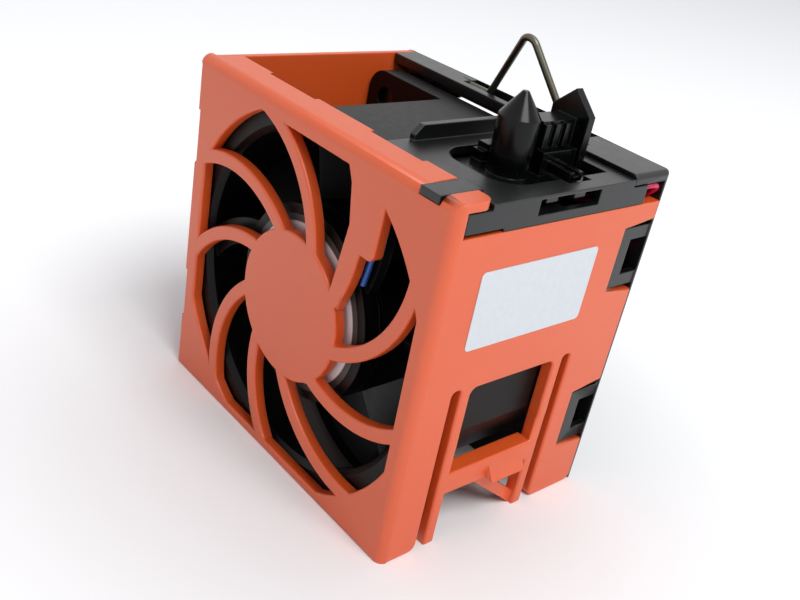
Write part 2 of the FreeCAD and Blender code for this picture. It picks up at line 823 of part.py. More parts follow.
# Black rear frame: open plate, top bar, clip loops and standoffs for the fan
def add_bar(body):
    bar_left = f"({inner_width} - fan_gap)"
    bar = side_sketch(body, f"-{bar_left}")
    outline(bar, [
        (bar_front, above_axis(f"{top} - bar_lip")),
        (f"{bar_front} + bar_step", above_axis(f"{top} - bar_lip")),
        (f"{bar_front} + bar_step", above_axis(f"{top} - bar_thickness")),
        (f"{wall_rear} + rear_plate / 2", above_axis(f"{top} - bar_thickness")),
        (f"{wall_rear} + rear_plate / 2", above_axis(top)),
        (bar_front, above_axis(top)),
    ])
    pad(body, bar, f"{bar_left} + {frame_half}")
    shelf = plan_sketch(body, above_axis(top))
    rectangle(shelf, shelf_left, shelf_front, frame_half, f"{bar_front} + bar_step / 2")
    pad(body, shelf, "shelf_thickness", reverse=True)
    cradle = plan_sketch(body, above_axis(top))
    rectangle(cradle, "bail_centre - cradle_half_length", f"{bail_y} - cradle_width / 2",
              "bail_centre + cradle_half_length", f"{bail_y} + cradle_width / 2")
    pocket(body, cradle, "cradle_depth")
    seat = side_sketch(body, "bail_centre - bail_half_span - bail_stub - bail_clearance")
    circle(seat, bail_y, above_axis(bail_z), "bail_wire_radius + bail_clearance")
    pocket(body, seat, "2 * (bail_half_span + bail_stub + bail_clearance)", reverse=True)


def make_rear_frame():
    body = new_body("rear_frame", axis)
    opening_frame(body, wall_rear, "rear_plate", frame_half)
    add_bar(body)
    rear = measure(half_depth)
    flank = measure(frame_half)

    def rear_upright(box):
        upright = box.XLength < 0.01 and box.YLength < 0.01 and abs(box.YMin - rear) < 0.01
        return upright and abs(abs(box.XMin) - flank) < 0.01

    dress(body, "Fillet", "Radius", "rear_round", rear_upright)
    for side in (1, -1):
        for level in (clip_upper, "clip_lower"):
            loop = side_sketch(body, f"{side} * ({half_width} - loop_inset)")
            start = f"({wall_rear} - notch_depth + fan_gap)"
            rectangle(loop, start, above_axis(f"{level} - loop_height / 2"),
                      f"{wall_rear} + rear_plate / 2", above_axis(f"{level} + loop_height / 2"))
            rectangle(loop, f"{start} + loop_post", above_axis(f"{level} - loop_height / 2 + loop_rail"),
                      wall_rear, above_axis(f"{level} + loop_height / 2 - loop_rail"))
            pad(body, loop, "loop_thickness", reverse=side > 0)
    for radius, length in (("standoff_radius", "rear_space"),
                           ("fan_hole_radius - peg_clearance", "rear_space + peg_length")):
        posts = front_sketch(body, wall_rear)
        for x in (f"-{hole_offset}", hole_offset):
            for z in (f"-{hole_offset}", hole_offset):
                circle(posts, x, z, radius)
        pad(body, posts, length)


# Black deck over the fan that carries the connector
def make_deck():
    body = new_body("connector_deck")
    right = f"({half_width} - skirt_inset)"
    deck = plan_sketch(body, deck_top)
    outline(deck, [
        (deck_left, deck_front),
        (right, deck_front),
        (right, f"{shelf_front} - deck_joint"),
        (f"{shelf_left} - deck_joint", f"{shelf_front} - deck_joint"),
        (f"{shelf_left} - deck_joint", f"{bar_front} - deck_joint"),
        (deck_left, f"{bar_front} - deck_joint"),
    ])
    outline(deck, [
        (well_left, well_rear),
        (well_left, "well_front + well_round", "well_round", "left"),
        (f"{well_left} + well_round", "well_front"),
        (f"{well_right} - well_round", "well_front", "well_round", "left"),
        (well_right, "well_front + well_round"),
        (well_right, "ear_slot_front"),
        (f"{well_right} + ear_slot_reach", "ear_slot_front"),
        (f"{well_right} + ear_slot_reach", "ear_slot_rear"),
        (well_right, "ear_slot_rear"),
        (well_right, well_rear),
    ])
    pad(body, deck, "deck_thickness", reverse=True)
    skirt = side_sketch(body, right)
    under = f"{top} - lip_thickness - fan_gap"
    outline(skirt, [
        (skirt_front, f"{right_top} + skirt_step_height"),
        ("skirt_step", f"{right_top} + skirt_step_height"),
        ("skirt_step", right_top),
        (skirt_rear, right_top),
        (skirt_rear, deck_bottom),
        (f"{shelf_front} - deck_joint", deck_bottom),
        (f"{shelf_front} - deck_joint", deck_top),
        (deck_front, deck_top),
        (deck_front, under),
        (skirt_front, under),
    ])
    pad(body, skirt, "skirt_thickness", reverse=True)
    slot_low = f"({right_top} + skirt_slot_bottom)"
    slot_high = f"({slot_low} + skirt_slot_height)"
    block_low = f"({slot_high} - slot_block_drop)"
    mouth = side_sketch(body, right)
    rectangle(mouth, "skirt_slot_front", slot_low, "skirt_slot_rear", slot_high)
    pocket(body, mouth, "skirt_slot_face")
    hollow = side_sketch(body, right)
    first = "(skirt_slot_front + slot_block_first)"
    steps = []
    for start in (f"({first} + slot_block_pitch)", first):
        steps += [(f"{start} + slot_block_width", slot_high), (f"{start} + slot_block_width", block_low),
                  (start, block_low), (start, slot_high)]
    outline(hollow, [("skirt_slot_front", slot_low), ("skirt_slot_rear", slot_low),
                     ("skirt_slot_rear", slot_high), *steps, ("skirt_slot_front", slot_high)])
    pocket(body, hollow, "skirt_slot_reach")
    fin = side_sketch(body, deck_left)
    outline(fin, [
        ("fin_front", deck_bottom),
        ("fin_rear", deck_bottom),
        ("fin_rear", f"{deck_top} + fin_height"),
        ("fin_front + fin_bevel", f"{deck_top} + fin_height"),
        ("fin_front", f"{deck_top} + fin_height - fin_bevel"),
    ])
    pad(body, fin, "fin_thickness")
    tab = plan_sketch(body, f"{top} - tab_drop")
    rectangle(tab, tab_left, front, f"{tab_left} + tab_width", f"{deck_front} + deck_thickness")
    pad(body, tab, "tab_thickness", reverse=True)
    keeper_top = f"{deck_bottom} - plug_base_thickness - fan_gap"
    keeper_edge = "(plug_base_front - fan_gap)"
    leg = plan_sketch(body, deck_top)
    rectangle(leg, lead_notch_right, f"{keeper_edge} - keeper_thickness",
              f"{lead_notch_right} + keeper_width", keeper_edge)
    pad(body, leg, "deck_thickness + plug_base_thickness + fan_gap + keeper_thickness", reverse=True)
    lips = plan_sketch(body, keeper_top)
    rectangle(lips, lead_notch_right, f"{keeper_edge} - keeper_thickness",
              f"{lead_notch_right} + keeper_width", f"{keeper_edge} + keeper_lip")
    pad(body, lips, "keeper_thickness", reverse=True)
    ledge = plan_sketch(body, keeper_top)
    rectangle(ledge, f"{plug_base_right} - keeper_lip", "post_y - keeper_width / 2", right, "post_y + keeper_width / 2")
    pad(body, ledge, "keeper_thickness", reverse=True)


# Connector housing: base in the deck's well, guide post, blade post and ribbed plug
def make_connector():
    body = new_body("connector_housing")
    base = plan_sketch(body, deck_bottom)
    rectangle(base, plug_base_left, "plug_base_front", plug_base_right, plug_base_rear)
    pad(body, base, "plug_base_thickness", reverse=True)
    post = plan_sketch(body, deck_bottom)
    circle(post, post_x, "post_y", "post_radius")
    pad(body, post, "post_height")
    shoulder = plan_sketch(body, f"{deck_bottom} + post_height")
    circle(shoulder, post_x, "post_y", "post_radius")
    tip = plan_sketch(body, f"{deck_bottom} + post_height + post_cone")
    circle(tip, post_x, "post_y", "post_tip_radius")
    cone = body.newObject("PartDesign::AdditiveLoft", "Cone")
    cone.Profile = shoulder
    cone.Sections = [tip]
    doc.recompute()
    plug = plan_sketch(body, deck_bottom)
    rectangle(plug, f"{post_x} - plug_left", plug_front,
              f"{post_x} + plug_right", "blade_front + blade_thickness")
    pad(body, plug, "plug_height")
    blade = front_sketch(body, "blade_front")
    shoulder_z = f"({deck_bottom} + blade_height)"
    outline(blade, [
        (f"{post_x} - blade_width / 2", deck_bottom),
        (f"{post_x} + blade_width / 2", deck_bottom),
        (f"{post_x} + blade_width / 2", shoulder_z),
        (post_x, f"{shoulder_z} + blade_point"),
        (f"{post_x} - blade_width / 2", shoulder_z),
    ])
    pad(body, blade, "blade_thickness", reverse=True)
    rib = plan_sketch(body, f"{deck_bottom} + plug_rib_bottom")
    rectangle(rib, post_x, "plug_rib_first", f"{post_x} + plug_right + plug_rib_depth",
              "plug_rib_first + plug_rib_width")
    along_depth(body, pad(body, rib, "plug_rib_top - plug_rib_bottom"), "plug_rib_count", "plug_rib_pitch")
    ledge = plan_sketch(body, deck_bottom)
    rectangle(ledge, post_x, plug_front,
              f"{post_x} + plug_right + plug_ledge_depth", "blade_front")
    pad(body, ledge, "plug_ledge_height")
    ear = plan_sketch(body, f"{deck_bottom} + ear_bottom")
    rectangle(ear, post_x, "ear_front", f"{post_x} + ear_reach", "ear_front + ear_width")
    pad(body, ear, "ear_top - ear_bottom")
    channel = plan_sketch(body, f"{deck_bottom} + ear_top")
    rectangle(channel, f"{post_x} + plug_right + plug_ledge_depth",
              "ear_front + (ear_width - ear_channel) / 2", f"{post_x} + 2 * ear_reach",
              "ear_front + (ear_width + ear_channel) / 2")
    pocket(body, channel, "(ear_top - ear_bottom) / 2")
    stub_left = f"({post_x} - stub_reach)"
    for start, height in (("stub_front", "stub_height"), ("(stub_front - stub_step)", "stub_height - stub_step")):
        stub = plan_sketch(body, deck_bottom)
        rectangle(stub, stub_left, start, f"{stub_left} + stub_width", f"{start} + stub_depth")
        pad(body, stub, height)
    slot = plan_sketch(body, f"{deck_bottom} - plug_base_thickness")
    half = "(contact_width / 2 + contact_slot_clearance)"
    rectangle(slot, f"{post_x} - plug_left - contact_slot_clearance", f"contact_first - {half}",
              f"{post_x} - plug_left + contact_thickness + contact_slot_clearance", f"contact_first + {half}")
    cut = pocket(body, slot, "plug_base_thickness + contact_top + contact_slot_clearance", reverse=True)
    along_depth(body, cut, "contact_count", "contact_pitch")


def make_contacts():
    strips = []
    for number in range(round(measure("contact_count"))):
        strip = doc.addObject("Part::Box", "Contact")
        bind(strip, "Length", "contact_thickness")
        bind(strip, "Width", "contact_width")
        bind(strip, "Height", "contact_tail + plug_base_thickness + contact_top")
        bind(strip, "Placement.Base.x", f"{post_x} - plug_left")
        bind(strip, "Placement.Base.y", f"contact_first + {number} * contact_pitch - contact_width / 2")
        bind(strip, "Placement.Base.z", f"{deck_bottom} - plug_base_thickness - contact_tail")
        strips.append(strip)
    gather("connector_contacts", strips)


def gather(label, pieces):
    group = doc.addObject("Part::Compound", label)
    group.Links = pieces
    doc.recompute()
    nodes.append(group)


# Fan frame: square flanges round a barrel, with the motor base on swirled struts
def trim_square(body):
    trim = front_sketch(body, fan_front)
    rectangle(trim, "-fan_size", "-fan_size", "fan_size", "fan_size")
    rectangle(trim, "-fan_size / 2", "-fan_size / 2", "fan_size / 2", "fan_size / 2")
    pocket(body, trim, "fan_depth")


def make_fan_frame():
    body = new_body("fan_frame", axis)
    barrel = front_sketch(body, fan_front)
    circle(barrel, "0", "0", barrel_radius)
    pad(body, barrel, "fan_depth", reverse=True)
    trim_square(body)
    for level in (fan_front, f"{fan_rear} - fan_flange"):
        flange = front_sketch(body, level)
        rounded_rectangle(flange, "-fan_size / 2", "-fan_size / 2", "fan_size / 2", "fan_size / 2", "fan_corner")
        pad(body, flange, "fan_flange", reverse=True)
    bore = front_sketch(body, fan_front)
    circle(bore, "0", "0", bore_radius)
    for x in (f"-{hole_offset}", hole_offset):
        for z in (f"-{hole_offset}", hole_offset):
            circle(bore, x, z, "fan_hole_radius")
    pocket(body, bore, "fan_depth")
    bore_width = 2 * measure(bore_radius)

    def bore_ends(box):
        return abs(box.XLength - bore_width) < 0.01 and box.YLength < 0.01

    dress(body, "Chamfer", "Size", "fan_bore_chamfer", bore_ends)
    strut = front_sketch(body, f"{fan_front} + strut_setback")
    swirl(strut, "strut_width", "base_radius - strut_width / 2", f"({bore_radius} + {barrel_radius}) / 2")
    strut_depth = "base_setback + base_thickness - strut_setback"
    around_axis(body, pad(body, strut, strut_depth, reverse=True), "strut_count")
    trim_square(body)
    base = front_sketch(body, base_front)
    circle(base, "0", "0", "base_radius")
    circle(base, "0", "0", "tube_radius")
    pad(body, base, "base_thickness", reverse=True)
    for start, length, floor in (
        (fan_front, "fan_flange", f"{lead_floor} - lead_bend / 2"),
        (fan_front, "fan_depth - fan_flange", lead_floor),
    ):
        notch = front_sketch(body, start)
        rectangle(notch, lead_notch_left, above_axis(floor), lead_notch_right, "fan_size")
        pocket(body, notch, length)
    recess = front_sketch(body, fan_front)
    rectangle(recess, f"{lead_notch_left} - lead_recess_margin", "fan_size / 2 - 2 * fan_flange",
              lead_notch_right, "fan_size")
    pocket(body, recess, "lead_recess_depth")
    slack = front_sketch(body, f"{fan_rear} - fan_flange")
    rectangle(slack, "fan_size / 2 - slack_notch_width", above_axis(lead_floor), "fan_size", "fan_size")
    pocket(body, slack, "fan_flange")


# Rotor: impeller, steel yoke, magnet, boss and shaft
def make_impeller():
    body = new_body("impeller", axis)
    spin(body, "Revolution", [
        ("0", hub_front),
        ("hub_radius", hub_front),
        ("hub_radius", f"{hub_rear} - hub_round", "hub_round", "left"),
        ("hub_radius - hub_round", hub_rear),
        ("0", hub_rear),
    ])
    lead = f"({hub_front} + blade_lead)"
    tail = f"({hub_rear} - blade_tail)"
    sections = []
    for level, part in (("blade_root_plane", "root"), (f"{impeller_radius} + hub_wall", "tip")):
        section = plan_sketch(body, level)
        outline(section, [
            (f"-blade_{part}_sweep / 2", lead, f"blade_{part}_face", "left"),
            (f"blade_{part}_sweep / 2", tail, f"blade_{part}_back", "right"),
        ])
        sections.append(section)
    blade = body.newObject("PartDesign::AdditiveLoft", "Blade")
    blade.Profile = sections[0]
    blade.Sections = sections[1:]
    doc.recompute()
    around_axis(body, blade, "blade_count")
    spin(body, "Groove", [
        (impeller_radius, hub_front),
        ("fan_size", hub_front),
        ("fan_size", hub_rear),
        (impeller_radius, hub_rear),
    ])
    spin(body, "Groove", [
        ("0", hub_front),
        (yoke_radius, hub_front),
        (yoke_radius, f"{hub_rear} - hub_end"),
        ("0", f"{hub_rear} - hub_end"),
    ])


def make_rotor():
    turned("rotor_yoke", [
        (yoke_radius, yoke_front),
        (yoke_radius, yoke_rear),
        ("boss_neck_radius", yoke_rear),
        ("boss_neck_radius", f"{yoke_rear} - yoke_thickness"),
        (magnet_radius, f"{yoke_rear} - yoke_thickness"),
        (magnet_radius, yoke_front),
    ])
    magnet_front = f"({yoke_front} + magnet_setback)"
    ring("rotor_magnet", f"{magnet_radius} - magnet_thickness", magnet_radius,
         magnet_front, f"{magnet_front} + magnet_length")
    turned("rotor_boss", [
        ("shaft_radius", boss_front),
        ("boss_radius", boss_front),
        ("boss_radius", f"{yoke_rear} - yoke_thickness"),
        ("boss_neck_radius", f"{yoke_rear} - yoke_thickness"),
        ("boss_neck_radius", f"{yoke_rear} + yoke_thickness"),
        ("shaft_radius", f"{yoke_rear} + yoke_thickness"),
    ])
    groove_front = f"({base_front} + shaft_front + clip_setback)"
    turned("rotor_shaft", [
        ("0", f"{base_front} + shaft_front"),
        ("shaft_radius", f"{base_front} + shaft_front"),
        ("shaft_radius", groove_front),
        ("shaft_radius - clip_groove", groove_front),
        ("shaft_radius - clip_groove", f"{groove_front} + clip_thickness"),
        ("shaft_radius", f"{groove_front} + clip_thickness"),
        ("shaft_radius", f"{yoke_rear} + yoke_thickness + shaft_rear"),
        ("0", f"{yoke_rear} + yoke_thickness + shaft_rear"),
    ])
    clip = ring("shaft_clip", "shaft_radius - clip_groove", "clip_radius",
                groove_front, f"{groove_front} + clip_thickness")
    mouth = front_sketch(clip, groove_front)
    rectangle(mouth, "-clip_mouth / 2", "0", "clip_mouth / 2", "2 * clip_radius")
    pocket(clip, mouth, "clip_thickness")


def make_bearings():
    ring("bearing_tube", bearing_radius, "tube_radius", f"{base_front} + tube_front", tube_rear)
    starts = {
        "front": f"({base_front} + bearing_front)",
        "rear": f"({tube_rear} - bearing_rear_gap - bearing_width)",
    }
    outer_race = f"({bearing_radius} - bearing_ring)"
    inner_race = "(shaft_radius + bearing_ring)"
    for place, start in starts.items():
        end = f"({start} + bearing_width)"
        ring(f"{place}_bearing_outer", outer_race, bearing_radius, start, end)
        ring(f"{place}_bearing_inner", "shaft_radius", inner_race, start, end)
        balls = []
        count = round(measure("ball_count"))
        for number in range(count):
            ball = doc.addObject("Part::Sphere", "Ball")
            turn = f"({number} * 360 / ball_count * 1 deg)"
            bind(ball, "Radius", f"({outer_race} - {inner_race}) / 2 - ball_clearance")
            bind(ball, "Placement.Base.x", f"({outer_race} + {inner_race}) / 2 * cos({turn})")
            bind(ball, "Placement.Base.y", f"{start} + bearing_width / 2")
            bind(ball, "Placement.Base.z", f"{axis} + ({outer_race} + {inner_race}) / 2 * sin({turn})")
            balls.append(ball)
        gather(f"{place}_bearing_balls", balls)
    ring("preload_spring", "shaft_radius + fan_gap", "spring_radius",
         f"{starts['rear']} + bearing_width", boss_front)


# Stator: salient core, insulators, coils and driver board round the bearing tube
def salient(label, start, length, margin):
    body = new_body(label, axis)
    core = front_sketch(body, start)
    circle(core, "0", "0", f"stator_ring - {margin}")
    circle(core, "0", "0", "tube_radius")
    pad(body, core, length, reverse=True)
    tooth = front_sketch(body, start)
    rectangle(tooth, f"-tooth_width / 2 + {margin} / 2", "(tube_radius + stator_ring) / 2",
              f"tooth_width / 2 - {margin} / 2", f"{stator_radius} - shoe_thickness / 2 - {margin}")
    around_axis(body, pad(body, tooth, length, reverse=True), "tooth_count")
    shoe = front_sketch(body, start)
    circle(shoe, "0", "0", f"{stator_radius} - {margin}")
    circle(shoe, "0", "0", f"{stator_radius} - shoe_thickness")
    pad(body, shoe, length, reverse=True)
    mouth = front_sketch(body, start)
    turn = "(180 / tooth_count * 1 deg)"
    half = f"(shoe_mouth / 2 + {margin})"
    inner = f"({stator_radius} - 2 * shoe_thickness)"
    outer = f"({stator_radius} + shoe_thickness)"
    outline(mouth, [
        (f"{inner} * sin({turn}) + {half} * cos({turn})", f"{inner} * cos({turn}) - {half} * sin({turn})"),
        (f"{outer} * sin({turn}) + {half} * cos({turn})", f"{outer} * cos({turn}) - {half} * sin({turn})"),
        (f"{outer} * sin({turn}) - {half} * cos({turn})", f"{outer} * cos({turn}) + {half} * sin({turn})"),
        (f"{inner} * sin({turn}) - {half} * cos({turn})", f"{inner} * cos({turn}) + {half} * sin({turn})"),
    ])
    around_axis(body, pocket(body, mouth, length), "tooth_count")


def make_coils(core_front):
    coils = []
    for number in range(round(measure("tooth_count"))):
        height = "(stator_length + 2 * insulator_thickness + 2 * coil_clearance)"
        width = "(tooth_width + 2 * coil_clearance)"
        shoe_run = f"sqrt(({stator_radius} - shoe_thickness) ^ 2 - ({width} / 2 + coil_thickness) ^ 2)"
        length = f"({shoe_run} - stator_ring - 2 * coil_margin)"
        blocks = []
        for growth in ("2 * coil_thickness", "0"):
            block = doc.addObject("Part::Box", "CoilBlock")
            bind(block, "Length", f"{width} + {growth}")
            bind(block, "Width", f"{height} + {growth}")
            bind(block, "Height", length)
            bind(block, "Placement.Base.x", f"-({width} + {growth}) / 2")
            bind(block, "Placement.Base.y", f"{core_front} + stator_length / 2 - ({height} + {growth}) / 2")
            bind(block, "Placement.Base.z", "stator_ring + coil_margin")
            blocks.append(block)
        coil = doc.addObject("Part::Cut", "Coil")
        coil.Base, coil.Tool = blocks
        bind(coil, "Placement.Base.z", axis)
        coil.Placement.Rotation = FreeCAD.Rotation(FreeCAD.Vector(0, 1, 0), 0)
        bind(coil, "Placement.Rotation.Angle", f"{number} * 360 / tooth_count")
        coils.append(coil)
    gather("stator_coils", coils)


def make_stator():
    core_front = f"({base_front} + stator_front)"
    core_rear = f"({core_front} + stator_length)"
    salient("stator_core", core_front, "stator_length", "0")
    salient("front_insulator", f"({core_front} - insulator_thickness)", "insulator_thickness", "insulator_margin")
    salient("rear_insulator", core_rear, "insulator_thickness", "insulator_margin")
    make_coils(core_front)
    board_front = f"({base_rear} + board_gap)"
    board_rear = f"({board_front} + board_thickness)"
    ring("driver_board", "tube_radius + board_clearance", "board_radius", board_front, board_rear)
    chips = []
    for x, z, width, height, rise in (
        (-0.30, 0.47, 0.61, 0.33, 1.4),
        (-0.71, -0.24, 0.27, 0.39, 1.2),
        (0.50, -0.35, 0.20, 0.27, 1.2),
        (-0.15, -0.73, 0.30, 0.18, 0.9),
    ):
        chip = doc.addObject("Part::Box", "Chip")
        bind(chip, "Length", f"{width} * board_radius")
        bind(chip, "Width", f"{rise} * board_thickness")
        bind(chip, "Height", f"{height} * board_radius")
        bind(chip, "Placement.Base.x", f"{x} * board_radius")
        bind(chip, "Placement.Base.y", board_rear)
        bind(chip, "Placement.Base.z", f"{axis} + {z} * board_radius")
        chips.append(chip)
    gather("board_chips", chips)


# Round wires: straight runs joined by tangent arcs
def wire_path(points, bend):
    edges = []
    start = points[0]
    for before, corner, after in zip(points, points[1:], points[2:]):
        back = (before - corner).normalize()
        ahead = (after - corner).normalize()
        turn = math.pi - back.getAngle(ahead)
        room = 0.45 * min((before - corner).Length, (after - corner).Length)
        radius = min(bend, room / math.tan(turn / 2))
        tangent = radius * math.tan(turn / 2)
        middle = (back + ahead).normalize() * (radius / math.cos(turn / 2) - radius)
        edges.append(Part.LineSegment(start, corner + back * tangent).toShape())
        edges.append(Part.Arc(corner + back * tangent, corner + middle, corner + ahead * tangent).toShape())
        start = corner + ahead * tangent
    edges.append(Part.LineSegment(start, points[-1]).toShape())
    return Part.Wire(edges)


def make_wire(label, points, radius, bend):
    path = wire_path(points, bend)
    section = Part.Wire(Part.makeCircle(radius, points[0], points[1] - points[0]))
    node = doc.addObject("Part::Feature", label)
    node.Shape = path.makePipeShell([section], True, True)
    expected = math.pi * radius ** 2 * path.Length
    if abs(node.Shape.Volume / expected - 1) > 0.01:
        raise RuntimeError(f"{label}: the wire's volume is off")
    print(f"{label}: {path.Length:.1f} mm long")
    nodes.append(node)


def make_bail():
    lean = "(bail_lean * 1 deg)"
    apex_y = f"{bail_y} - bail_height * sin({lean})"
    apex_z = f"{bail_z} + bail_height * cos({lean})"
    far = "(bail_half_span + bail_stub)"
    points = [
        spot(f"bail_centre - {far}", bail_y, bail_z),
        spot("bail_centre - bail_half_span", bail_y, bail_z),
        spot("bail_centre", apex_y, apex_z),
        spot("bail_centre + bail_half_span", bail_y, bail_z),
        spot(f"bail_centre + {far}", bail_y, bail_z),
    ]
    make_wire("bail", points, measure("bail_wire_radius"), measure("bail_bend"))


def make_leads():
    on_strut = f"({fan_front} + strut_setback - lead_radius - fan_gap)"
    first_lane = f"({lead_notch_left} + lead_radius + fan_gap)"
    tail = f"({post_x} - plug_left)"
    exit_radius = "(base_radius + lead_radius)"
    span = f"({bore_radius} - base_radius)"
    radius = measure("lead_radius")
    bend = measure("lead_bend")
    for number, colour in enumerate(("red", "yellow", "black", "blue")):
        shift = f"({number} * lead_pitch)"
        lane = f"({first_lane} + {shift})"
        exit_angle = f"((lead_exit_angle - {number} * lead_exit_step) * 1 deg)"
        on_strut_x = f"({post_x} - lead_strut_inset + {shift})"
        seat = f"(contact_first + {3 - number} * contact_pitch)"
        points = [
            spot(f"{exit_radius} * cos({exit_angle})", on_strut, f"{axis} + {exit_radius} * sin({exit_angle})"),
            spot(on_strut_x, on_strut, f"{axis} + base_radius + {span} / 14 - 0.4 * {shift}"),
            spot(f"{on_strut_x} + 1.6 * lead_radius", on_strut, f"{axis} + base_radius + {span} / 2"),
            spot(lane, on_strut, over_barrel),
        ]
        if colour == "red":
            points += slack_loop(lane, over_barrel)
            points += [
                spot(f"{tail} + 4 * lead_bend / 2", seat, f"{over_barrel} - 2.2 * lead_radius"),
                spot(f"{tail} + contact_thickness", seat, f"{over_barrel} - 0.8 * lead_radius"),
            ]
        elif colour == "blue":
            points.append(spot(lane, f"{seat} + contact_width / 2", over_barrel))
        else:
            points += [spot(lane, seat, over_barrel), spot(tail, seat, over_barrel)]
        make_wire(f"lead_{colour}", points, radius, bend)


# Slack of one lead, which hangs in the space between the fan and the rear plate
def slack_loop(lane, level):
    outside = f"({inner_width} - slack_side)"
    inside = f"({outside} - 1.6 * lead_radius)"
    down = f"({fan_rear} + slack_lead)"
    up = f"({wall_rear} - 4 * lead_radius)"
    foot = f"({clip_upper} - slack_drop)"
    return [
        spot(lane, f"{plug_base_rear} - 4 * lead_radius", level),
        spot(f"{outside} - lead_bend", f"{plug_base_rear} - 3.6 * lead_radius", level),
        spot(outside, f"{plug_base_rear} + 3 * lead_radius", level),
        spot(outside, down, level),
        spot(outside, f"{down} + lead_radius", foot),
        spot(outside, f"{up} + lead_radius", foot),
        spot(inside, up, level),
        spot(inside, f"{plug_base_rear} + lead_radius", level),
        spot(f"{inside} - 4 * lead_radius", f"{plug_base_rear} - 5 * lead_radius", f"{level} - 3.2 * lead_radius"),
    ]


def make_labels():
    body = new_body("side_label")
    face = side_sketch(body, half_width)
    label_top = f"{right_top} - label_drop"
    rounded_rectangle(face, "label_front", f"{label_top} - label_height", "label_rear", label_top, "label_round")
    pad(body, face, "label_thickness")
    turned("motor_label", [
        ("0", f"{base_front} - sticker_thickness"),
        ("sticker_radius", f"{base_front} - sticker_thickness"),
        ("sticker_radius", base_front),
        ("0", base_front),
    ])


make_shroud()
make_latch("right_latch", 1)
make_latch("left_latch", -1)
make_rear_frame()
make_deck()
make_connector()
make_contacts()
make_fan_frame()
make_impeller()
make_rotor()
make_bearings()
make_stator()
make_bail()
make_leads()
make_labels()
doc.recompute()

failed = [thing.Label for thing in doc.Objects if {"Invalid", "Error"} & set(thing.State)]
broken = [node.Label for node in nodes if node.Shape.isNull() or not node.Shape.isValid()]
if failed or broken:
    raise RuntimeError(f"failed: {failed}, broken: {broken}")
os.makedirs("parts", exist_ok=True)
for node in nodes:
    node.Shape.exportStep(f"parts/{node.Label}.step")
print(f"{len(nodes)} nodes")
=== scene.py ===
import bmesh
import bpy
import math
from mathutils import Matrix, Vector


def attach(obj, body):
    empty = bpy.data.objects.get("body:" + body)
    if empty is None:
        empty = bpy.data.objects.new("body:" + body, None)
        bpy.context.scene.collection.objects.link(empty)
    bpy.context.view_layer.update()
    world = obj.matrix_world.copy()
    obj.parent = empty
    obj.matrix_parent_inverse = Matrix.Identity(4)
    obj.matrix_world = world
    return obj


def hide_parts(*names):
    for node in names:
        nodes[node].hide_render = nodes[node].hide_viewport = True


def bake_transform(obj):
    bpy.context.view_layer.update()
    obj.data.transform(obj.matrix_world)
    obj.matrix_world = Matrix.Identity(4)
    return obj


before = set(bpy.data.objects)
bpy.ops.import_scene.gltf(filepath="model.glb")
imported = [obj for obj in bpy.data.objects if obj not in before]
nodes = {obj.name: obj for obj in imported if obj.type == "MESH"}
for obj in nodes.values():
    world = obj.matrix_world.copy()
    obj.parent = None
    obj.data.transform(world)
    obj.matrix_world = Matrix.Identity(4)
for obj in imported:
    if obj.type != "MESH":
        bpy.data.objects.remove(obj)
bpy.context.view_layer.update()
scene = bpy.context.scene
scene.view_settings.view_transform = "Standard"
mm = 0.001
fanAxis = 30 * mm  # height of the fan's axis
mergeReach = 0.001 * mm  # points closer than this are one point
colourA, colourB, colourOut = 6, 7, 2  # colour sockets of a Mix node
print("frame loaded:", len(nodes), "nodes")


# sRGB hex to the linear colour that shaders take
def linear(hexText):
    channels = [int(hexText[i:i + 2], 16) / 255 for i in (1, 3, 5)]
    return tuple(c / 12.92 if c <= 0.04045 else ((c + 0.055) / 1.055) ** 2.4 for c in channels) + (1.0,)


# one node with its settings, its input values and its links
def addNode(tree, kind, settings=None, values=None, links=None):
    node = tree.nodes.new(kind)
    for name, value in (settings or {}).items():
        setattr(node, name, value)
    for name, value in (values or {}).items():
        node.inputs[name].default_value = value
    for name, socket in (links or {}).items():
        tree.links.new(socket, node.inputs[name])
    return node


def newMaterial(name):
    material = bpy.data.materials.new(name)
    material.use_nodes = True
    tree = material.node_tree
    tree.nodes.clear()
    shader = addNode(tree, "ShaderNodeBsdfPrincipled")
    addNode(tree, "ShaderNodeOutputMaterial", links={"Surface": shader.outputs["BSDF"]})
    place = addNode(tree, "ShaderNodeTexCoord").outputs["Object"]
    return material, tree, shader, place


def newPiece(name, mesh, material, body, *replaced):
    piece = bpy.data.objects.new(name, mesh)
    scene.collection.objects.link(piece)
    mesh.materials.clear()
    mesh.materials.append(material)
    if body:
        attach(piece, body)
    if replaced:
        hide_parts(*replaced)
    return piece


# Camera at the photograph's angle, tilted about its own axis
cameraLook = {"place": (0.108091, -0.107937, 0.10679), "azimuth": 44.541, "elevation": 27.729,
              "roll": 11.543, "lens": 42.664, "sensor": 36, "near": 0.005}


def buildCamera(look):
    azimuth, elevation, roll = (math.radians(look[key]) for key in ("azimuth", "elevation", "roll"))
    back = Vector((math.sin(azimuth) * math.cos(elevation), -math.cos(azimuth) * math.cos(elevation),
                   math.sin(elevation)))
    side = (-back).cross(Vector((0, 0, 1))).normalized()
    rise = side.cross(-back)
    right = side * math.cos(roll) + rise * math.sin(roll)
    up = rise * math.cos(roll) - side * math.sin(roll)
    camera = bpy.data.objects.new("camera", bpy.data.cameras.new("camera"))
    scene.collection.objects.link(camera)
    turn = Matrix((right, up, back)).transposed().to_4x4()
    camera.matrix_world = Matrix.Translation(look["place"]) @ turn
    camera.data.sensor_width = look["sensor"]
    camera.data.lens = look["lens"]
    camera.data.clip_start = look["near"]
    scene.camera = camera


buildCamera(cameraLook)
print("camera ready")

